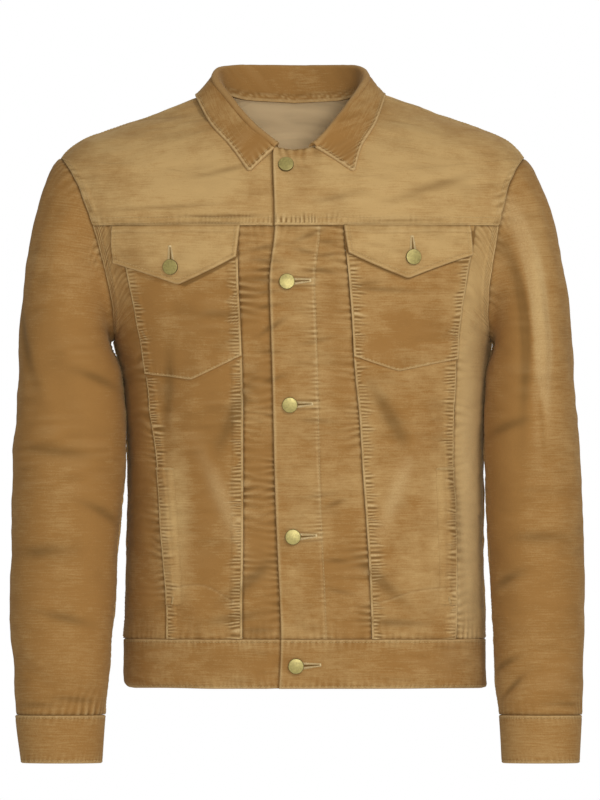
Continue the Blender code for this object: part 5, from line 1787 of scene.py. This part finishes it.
def sleeve(side):
    points, normals, around = sleeve_grid(side)
    count = points.shape[1]
    back = BACK_SLEEVE_SEAM * RING_FINE
    pieces = {"upper": np.arange(0, back + 1), "under": np.arange(back, count + 1)}
    seed = 460 if side == "right" else 500
    for piece, columns in pieces.items():
        wrapped = columns % count
        grid = points[:, wrapped].copy()
        for edge, beside in ((0, 1), (-1, -2)):
            grid[:, edge] += unit(grid[:, beside] - grid[:, edge]) * SEAM_GAP / 2
        place = around[:, wrapped].copy()
        if piece == "under":
            place[:, -1] = 2 * math.pi * SLEEVE_MEAN_RADIUS
        cloth = Cloth(grid[::-1], normals[:, wrapped][::-1], sizes().cloth)
        slack(cloth, seed, 0.0010, 0.040)
        cloth.crease(SLEEVE_CREASES[side], place[::-1])
        over_seed, under_seed = SLEEVE_SEAM_SEEDS[piece]
        over_seam(cloth, "end", seed + over_seed, pucker=0.0004, width=0.009, ladder=0.7)
        under_seam(cloth, "start", seed + under_seed, pucker=0.0004)
        under_seam(cloth, "top", seed + 9, pucker=0.00035, spacing=0.009)
        under_seam(cloth, "bottom", seed + 10, pucker=0.0004)
        cloth.front_nap(SLEEVE_NAP[side])
        finish_cloth(f"sleeve_{piece}", cloth, suede(0.12, calm=True), f"sleeve_{side}", side)
        seed += 15


def cuff(side):
    """A band whose upper end laps over its lower one at the back of the wrist."""
    shares = spaced(0.29, 0.0016, 0.0020)
    bearing = CUFF_START + shares * (2 * math.pi + CUFF_LAP)
    levels = CUFF_BOTTOM + (CUFF_TOP - SEAM_GAP / 2 - CUFF_BOTTOM) * spaced(0.050, FINE, 0.0016)
    points = sleeve_ring(side, levels[:, None], bearing[None, :])
    normals = SIDES[side] * grid_normals(points)
    doubled = sizes().doubled
    before_lap = 1 - ease((bearing - bearing[0]) / CUFF_LAP)[None, :, None]
    base = points + normals * (BAND_PROUD - (doubled + SEAM_GAP + CUFF_LAP_ROOM) * before_lap)
    cloth = Cloth(base, normals, doubled)
    first_seed = 560 if side == "right" else 580
    for edge, seed in (("bottom", first_seed), ("top", first_seed + 4)):
        turned_edge(cloth, edge, seed, "cuff")
        round_edge(cloth, edge, 0.0013)
    roll_edge(cloth, "end", 0.0014, 0.0014)
    cloth.stitches.append(("end", 0.0030, 1.0))
    cloth.front_nap(SLEEVE_NAP[side])
    finish_cloth("cuff", cloth, suede(0.20, calm=True), f"sleeve_{side}", side)


# ---------------------------------------------------------------- buttons
BUTTON_VERTICES = 72
# From the rim to the middle, how far each step goes in and how far it lifts.
BUTTON_STEPS = ((0.0004, 0.00045), (0.0008, 0.0000), (0.0005, -0.00060), (0.0010, 0.0000), (0.0003, 0.00035),
                (0.0006, 0.0001), (0.0003, -0.00030), (0.0012, 0.0002), (0.0012, 0.0002))
ROPE_STRANDS = 24
CUFF_BUTTON_IN = 0.0112  # from the lap's end


def deselect_all():
    for chosen in bpy.context.selected_objects:
        chosen.select_set(False)


def button_blank():
    """One brass button at the origin, facing +Z: a rim, a roped ring and a domed middle."""
    radius = sizes().button
    deselect_all()
    bpy.ops.mesh.primitive_cylinder_add(vertices=BUTTON_VERTICES, radius=radius * 0.93, depth=0.0020,
                                        end_fill_type="NGON", location=(0, 0, 0.0012))
    blank = bpy.context.object
    bpy.ops.object.transform_apply(location=True, rotation=False, scale=False)
    bpy.ops.object.mode_set(mode="EDIT")
    mesh = bmesh.from_edit_mesh(blank.data)

    def choose_top():
        mesh.faces.ensure_lookup_table()
        top = max(mesh.faces, key=lambda face: face.calc_center_median().z)
        for face in mesh.faces:
            face.select_set(face is top)
        mesh.select_flush(True)
        bmesh.update_edit_mesh(blank.data)

    for inset, lift in BUTTON_STEPS:
        choose_top()
        bpy.ops.mesh.inset(thickness=inset, depth=lift)
    bpy.ops.object.mode_set(mode="OBJECT")
    deselect_all()
    blank.select_set(True)
    bpy.context.view_layer.objects.active = blank
    rounded = blank.modifiers.new("rounded", "BEVEL")
    rounded.width = 0.00022
    rounded.segments = 2
    rounded.limit_method = "ANGLE"
    rounded.angle_limit = math.radians(30)
    bpy.ops.object.modifier_apply(modifier="rounded")
    rope_ring(blank, radius)
    return blank


def rope_ring(blank, radius):
    """Raises slanted strands round the ring between the rim and the middle, and marks the patina in the
    hollows and painted shade at the rim and sides.
    """
    mesh = blank.data
    points = np.empty(len(mesh.vertices) * 3, np.float32)
    mesh.vertices.foreach_get("co", points)
    points = points.reshape(-1, 3)
    out = np.hypot(points[:, 0], points[:, 1]) / radius
    turn = np.arctan2(points[:, 1], points[:, 0])
    high = points[:, 2] > 0.0015
    points[:, 2] += high * 0.00016 * np.cos(ROPE_STRANDS * turn) * bell(out - 0.66, 0.10)
    mesh.vertices.foreach_set("co", points.ravel())
    # Painted shade on the sides and round the rim; patina in the grooves.
    patina_and_shade = (~high) * 0.9
    for ring, depth in ((0.93, 0.90), (0.78, 0.95), (0.44, 0.60)):
        patina_and_shade += high * depth * bell(out - ring, 0.05)
    mark_points(mesh, "patina_and_shade", patina_and_shade)


def place_button(blank, node_name, centre, normal):
    """A copy of the blank, turned and moved in its mesh."""
    mesh = blank.data.copy()
    turn = Vector(normal).to_track_quat("Z", "Y").to_matrix().to_4x4()
    mesh.transform(Matrix.Translation(Vector(centre)) @ turn)
    mesh.shade_smooth()
    mesh.set_sharp_from_angle(angle=math.radians(50))
    piece = add_piece(f"brass_{node_name}", mesh, shared("antique_brass", brass_material))
    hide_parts(node_name)


def torso_place(height, x, out):
    angle = angle_of(x, height)
    point, normal = torso_surface(angle, np.asarray(height))
    return point + normal * (out + SEAM_GAP), normal


def button_places():
    """Every button's (name, centre, facing)."""
    places = []
    for number, (height, x) in enumerate(FRONT_BUTTONS, start=1):
        on_band = BAND_PROUD if height < WAIST_SEAM else 0.0
        places.append((f"front_button_{number}", *torso_place(height, x, on_band)))
    for side in SIDES:
        stack = SEAM_GAP + POCKET_CLOTH + FLAP_ROOM + sizes().cloth + FLAP_LIFT * FLAP_BUTTON_SHARE
        places.append((f"flap_button_{side}", *torso_place(*FLAP_BUTTONS[side], stack)))
        places.append((f"cuff_button_{side}", *cuff_button_place(side)))
    return places


def cuff_button_place(side):
    """The button sits on the cuff's lap, near its end."""
    point, normal = on_cuff(side, CUFF_BUTTON_IN)
    return point + normal * SEAM_GAP, normal


def on_cuff(side, from_end):
    """(point, facing) on the cuff's middle line, at this distance from the lap's end."""
    cloth = PANELS[f"cuff_{side}"]
    row = cloth.base.shape[0] // 2
    column = int(np.argmin(np.abs(cloth.away["end"][row] - from_end)))
    return cloth.base[row, column], cloth.normals[row, column]


# ---------------------------------------------------------------- buttonholes and bar tacks
HOLE_GAPE = 0.0009
BAR_SPACING = 0.00085
BAR_WIDTH = 0.0009
SLIT_STEPS = 8
SLIT_CORNERS = ((-1, 0.0003), (1, 0.0003), (1, -0.0002), (-1, -0.0002))  # (side, lift)
FRONT_HOLES = (0.0205, 0.0195, 0.0205, 0.0215)  # lengths below the top button, whose hole doesn't show
CUFF_HOLE = (0.0162, 0.0290)  # where it starts and ends, from the lap's end
TACK_SPACING = 0.0007


def frame_on(normal, direction):
    along = unit(direction - normal * np.dot(direction, normal))
    return along, np.cross(normal, along)


def buttonhole(thread, slits, start, end, on_cloth):
    """Close bars of thread down both lips of a slit, which gapes at the button and closes in to a point."""
    length = np.linalg.norm(end - start)
    count = int(length / BAR_SPACING)
    for n in range(count + 1):
        share = n / count
        point, normal = on_cloth(start + (end - start) * share)
        _, side = frame_on(normal, end - start)
        half = 0.0003 + HOLE_GAPE * (1 - share)
        bar = 0.0014 + 0.0016 * (1 - share)
        for sign in (-1, 1):
            thread.add(point + side * sign * half, point + side * sign * (half + bar), normal, BAR_WIDTH)
    point, normal = on_cloth(end)
    along, side = frame_on(normal, end - start)
    for step in (-0.5, 0.0, 0.5):
        middle = point + along * (step * 0.0010)
        thread.add(middle - side * 0.0018, middle + side * 0.0018, normal, BAR_WIDTH)
    slits.append((start, end, on_cloth))


def make_slits(slits):
    """Painted shade in the buttonholes' openings, as thin strips on the cloth between their bars."""
    verts, faces = [], []
    for start, end, on_cloth in slits:
        for n in range(SLIT_STEPS + 1):
            share = 0.06 + 0.88 * n / SLIT_STEPS
            point, normal = on_cloth(start + (end - start) * share)
            _, side = frame_on(normal, end - start)
            half = 0.0001 + HOLE_GAPE * 0.8 * (1 - share)
            first = len(verts)
            verts += [tuple(point + side * half * sign + normal * lift) for sign, lift in SLIT_CORNERS]
            if n:
                for k in range(4):
                    beside = (k + 1) % 4
                    faces.append((first - 4 + k, first - 4 + beside, first + beside, first + k))
            if n in (0, SLIT_STEPS):
                faces.append(tuple(first + k for k in range(4)))
    mesh = bpy.data.meshes.new("buttonhole_slits")
    mesh.from_pydata(verts, [], faces)
    shape = bmesh.new()
    shape.from_mesh(mesh)
    bmesh.ops.recalc_face_normals(shape, faces=shape.faces)
    shape.to_mesh(mesh)
    shape.free()
    add_piece("buttonhole_slits", mesh, shared("buttonhole_painted_shade", slit_shade_material))


def bar_tack(thread, start, end, on_cloth, width):
    """A dense zigzag over a seam's end."""
    count = max(4, int(np.linalg.norm(end - start) / TACK_SPACING))
    for n in range(count + 1):
        point, normal = on_cloth(start + (end - start) * n / count)
        _, side = frame_on(normal, end - start)
        thread.add(point - side * width / 2, point + side * width / 2, normal, TACK_SPACING)


def nearest_on(cloth):
    """A function that puts a point on the cloth's outer skin."""
    outer = cloth.outer().reshape(-1, 3)
    normals = cloth.normals.reshape(-1, 3)

    def on_cloth(point):
        near = int(np.argmin(np.sum((outer - point) ** 2, axis=1)))
        offset = np.dot(outer[near] - point, normals[near])
        return point + normals[near] * offset, normals[near]

    return on_cloth


def front_point(x, height):
    return torso_surface(angle_of(x, height), np.asarray(height))[0]


def buttonholes():
    thread, slits = thread_of("buttonholes"), []
    for (height, x), length in zip(FRONT_BUTTONS[1:], FRONT_HOLES):
        cloth = PANELS["waistband" if height < WAIST_SEAM else "front_centre_left"]
        start = front_point(x + 0.0040, height)
        end = front_point(x + 0.0040 + length, height + 0.0012)
        buttonhole(thread, slits, start, end, nearest_on(cloth))
    for side in SIDES:
        height, x = FLAP_BUTTONS[side]
        start, end = front_point(x, height + 0.0050), front_point(x - 0.001, height + 0.0215)
        buttonhole(thread, slits, start, end, nearest_on(PANELS[f"pocket_flap_{side}"]))
        start, end = (on_cuff(side, distance)[0] for distance in CUFF_HOLE)
        buttonhole(thread, slits, start, end, nearest_on(PANELS[f"cuff_{side}"]))
        pocket_bars(side)
    make_slits(slits)


def pocket_bars(side):
    """Bar tacks at the ends of the hand pocket's mouth."""
    thread = thread_of("front")
    low, high = WELT_HEIGHTS
    on_welt = nearest_on(PANELS[f"hand_pocket_welt_{side}"])
    outer, inner = (float(FRONT.read(f"{seam}_{side}", high)) for seam in ("outer", "inner"))
    reach = (inner - outer) * (1 - WELT_INNER_SHARE) * 0.95
    start, end = (front_point(x, high - 0.0020) for x in (outer, outer + reach))
    bar_tack(thread, start, end, on_welt, 0.0016)
    sign = SIDES[side]
    foot = float(FRONT.read(f"outer_{side}", low)) - sign * 0.0075
    start, end = front_point(foot, low + 0.0010), front_point(foot - sign * 0.0015, low + 0.0080)
    bar_tack(thread, start, end, on_welt, 0.0030)


# ---------------------------------------------------------------- studio
PICTURE_WIDTH, PICTURE_HEIGHT = 600, 800
ORIGIN_COLUMN, ORIGIN_ROW = 297, 103  # the pixel of the jacket's origin
PIXEL = 0.00105  # metres of the shoulder plane in one pixel
CAMERA_DISTANCE = 24.0
CAMERA_X = (PICTURE_WIDTH / 2 - ORIGIN_COLUMN) * PIXEL
CAMERA_HEIGHT = (ORIGIN_ROW - PICTURE_HEIGHT / 2) * PIXEL
SENSOR = 36.0
FLOOR_HEIGHT = -1.45
FLOOR_SIZE = 6
FLOOR_COLOURS = ((0.88, 0.88, 0.87), (0.91, 0.91, 0.90))
WORLD_LIGHT = 0.36
LIGHT_COLUMNS = ("name", "place", "target", "size", "power")
LIGHTS = (
    ("key_light", (1.5, -3.2, 1.9), (0, 0, -0.32), (0.8, 0.8), 50),
    ("front_light", (0.3, -6.0, 0.0), (0, 0, -0.1), (1.4, 0.8), 124),
    ("back_light", (0.5, 3.0, 1.4), (0, 0, -0.32), (2.0, 1.6), 30),
)


def soft_light(name, place, target, size, power):
    data = bpy.data.lights.new(name, "AREA")
    data.shape = "RECTANGLE"
    data.size, data.size_y = size
    data.energy = power
    lamp = bpy.data.objects.new(name, data)
    bpy.context.scene.collection.objects.link(lamp)
    lamp.location = place
    lamp.rotation_euler = (Vector(target) - Vector(place)).to_track_quat("-Z", "Y").to_euler()


def studio_floor():
    deselect_all()
    bpy.ops.mesh.primitive_grid_add(x_subdivisions=8, y_subdivisions=8, size=FLOOR_SIZE,
                                    location=(0, 0, FLOOR_HEIGHT))
    floor = bpy.context.object
    floor.name = "studio_floor"
    material, tree, shader = new_material("studio_floor_paint")
    uneven_colour(tree, shader, 3, *FLOOR_COLOURS, detail=3)
    shader.inputs["Roughness"].default_value = 0.9
    floor.data.materials.append(material)


def studio_world():
    """White all round: bright where the camera looks at it, softer as a light."""
    world = bpy.data.worlds.new("studio_white")
    bpy.context.scene.world = world
    world.use_nodes = True
    tree = world.node_tree
    background = tree.nodes["Background"]
    background.inputs["Color"].default_value = (1.0, 1.0, 1.0, 1.0)
    seen = node(tree, "ShaderNodeLightPath").outputs["Is Camera Ray"]
    tree.links.new(spread(tree, seen, 0.0, 1.0, WORLD_LIGHT, 1.0), background.inputs["Strength"])


def studio_camera():
    data = bpy.data.cameras.new("studio_camera")
    data.sensor_width = SENSOR
    data.lens = SENSOR * CAMERA_DISTANCE / (PICTURE_HEIGHT * PIXEL)
    data.clip_end = 120
    camera = bpy.data.objects.new("studio_camera", data)
    bpy.context.scene.collection.objects.link(camera)
    camera.location = (CAMERA_X, -CAMERA_DISTANCE, CAMERA_HEIGHT)
    camera.rotation_euler = (math.radians(90), 0, 0)
    bpy.context.scene.camera = camera


# ---------------------------------------------------------------- operators
class JACKET_OT_fronts(bpy.types.Operator):
    """Make the yokes and the panels of both fronts"""

    bl_idname = "jacket.fronts"
    bl_label = "Fronts"

    def execute(self, context):
        for side in SIDES:
            front_yoke(side)
            front_centre(side)
            front_mid(side)
            front_side(side)
        return {"FINISHED"}


class JACKET_OT_back(bpy.types.Operator):
    """Make the back panels, the back yoke and the facing inside the neck"""

    bl_idname = "jacket.back"
    bl_label = "Back"

    def execute(self, context):
        back_centre()
        for side in SIDES:
            back_side(side)
        back_yoke()
        back_facing()
        return {"FINISHED"}


class JACKET_OT_pockets(bpy.types.Operator):
    """Make the chest pockets, their flaps and the hand pockets' welts"""

    bl_idname = "jacket.pockets"
    bl_label = "Pockets"

    def execute(self, context):
        for side in SIDES:
            chest_pocket(side)
            pocket_flap(side)
            hand_pocket_welt(side)
        return {"FINISHED"}


class JACKET_OT_collar(bpy.types.Operator):
    """Make the collar"""

    bl_idname = "jacket.collar"
    bl_label = "Collar"

    def execute(self, context):
        collar()
        return {"FINISHED"}


class JACKET_OT_waistband(bpy.types.Operator):
    """Make the waistband"""

    bl_idname = "jacket.waistband"
    bl_label = "Waistband"

    def execute(self, context):
        waistband()
        return {"FINISHED"}


class JACKET_OT_sleeves(bpy.types.Operator):
    """Make both sleeves and their cuffs"""

    bl_idname = "jacket.sleeves"
    bl_label = "Sleeves and Cuffs"

    def execute(self, context):
        for side in SIDES:
            sleeve(side)
            cuff(side)
        return {"FINISHED"}


class JACKET_OT_buttons(bpy.types.Operator):
    """Make the brass buttons"""

    bl_idname = "jacket.buttons"
    bl_label = "Buttons"

    def execute(self, context):
        blank = button_blank()
        for name, centre, normal in button_places():
            place_button(blank, name, centre, normal)
        bpy.data.objects.remove(blank, do_unlink=True)
        return {"FINISHED"}


class JACKET_OT_stitching(bpy.types.Operator):
    """Make the buttonholes, the bar tacks and every row of stitches"""

    bl_idname = "jacket.stitching"
    bl_label = "Stitching"

    def execute(self, context):
        buttonholes()
        for group, thread in THREADS.items():
            look = "buttonhole_thread" if group == "buttonholes" else "cotton_thread"
            thread.make(f"stitches_{group}", shared(look, thread_material))
        return {"FINISHED"}


class JACKET_OT_studio(bpy.types.Operator):
    """Make the floor, the lights and the camera"""

    bl_idname = "jacket.studio"
    bl_label = "Studio"

    def execute(self, context):
        studio_floor()
        studio_world()
        for row in LIGHTS:
            soft_light(**dict(zip(LIGHT_COLUMNS, row)))
        studio_camera()
        scene = bpy.context.scene
        scene.view_settings.view_transform = "Standard"
        scene.view_settings.look = "None"
        return {"FINISHED"}


OPERATORS = (JACKET_OT_fronts, JACKET_OT_back, JACKET_OT_pockets, JACKET_OT_collar, JACKET_OT_waistband,
             JACKET_OT_sleeves, JACKET_OT_buttons, JACKET_OT_stitching, JACKET_OT_studio)


class JACKET_PT_panel(bpy.types.Panel):
    """The jacket's sizes, colours and pieces"""

    bl_idname = "JACKET_PT_panel"
    bl_label = "Suede Jacket"
    bl_space_type = "VIEW_3D"
    bl_region_type = "UI"
    bl_category = "Jacket"

    def draw(self, context):
        layout = self.layout
        for group in (context.scene.jacket_sizes, context.scene.jacket_colours):
            box = layout.box()
            for name in group.__annotations__:
                box.prop(group, name)
        for operator in OPERATORS:
            layout.operator(operator.bl_idname)


CLASSES = (JacketSizes, JacketColours, *OPERATORS, JACKET_PT_panel)


def register():
    for each in CLASSES:
        bpy.utils.register_class(each)
    bpy.types.Scene.jacket_sizes = bpy.props.PointerProperty(type=JacketSizes)
    bpy.types.Scene.jacket_colours = bpy.props.PointerProperty(type=JacketColours)


def unregister():
    del bpy.types.Scene.jacket_colours
    del bpy.types.Scene.jacket_sizes
    for each in reversed(CLASSES):
        bpy.utils.unregister_class(each)


def main():
    register()
    bpy.ops.jacket.fronts()
    bpy.ops.jacket.back()
    bpy.ops.jacket.pockets()
    bpy.ops.jacket.collar()
    bpy.ops.jacket.waistband()
    bpy.ops.jacket.sleeves()
    bpy.ops.jacket.buttons()
    bpy.ops.jacket.stitching()
    bpy.ops.jacket.studio()


if __name__ == "__main__":
    main()
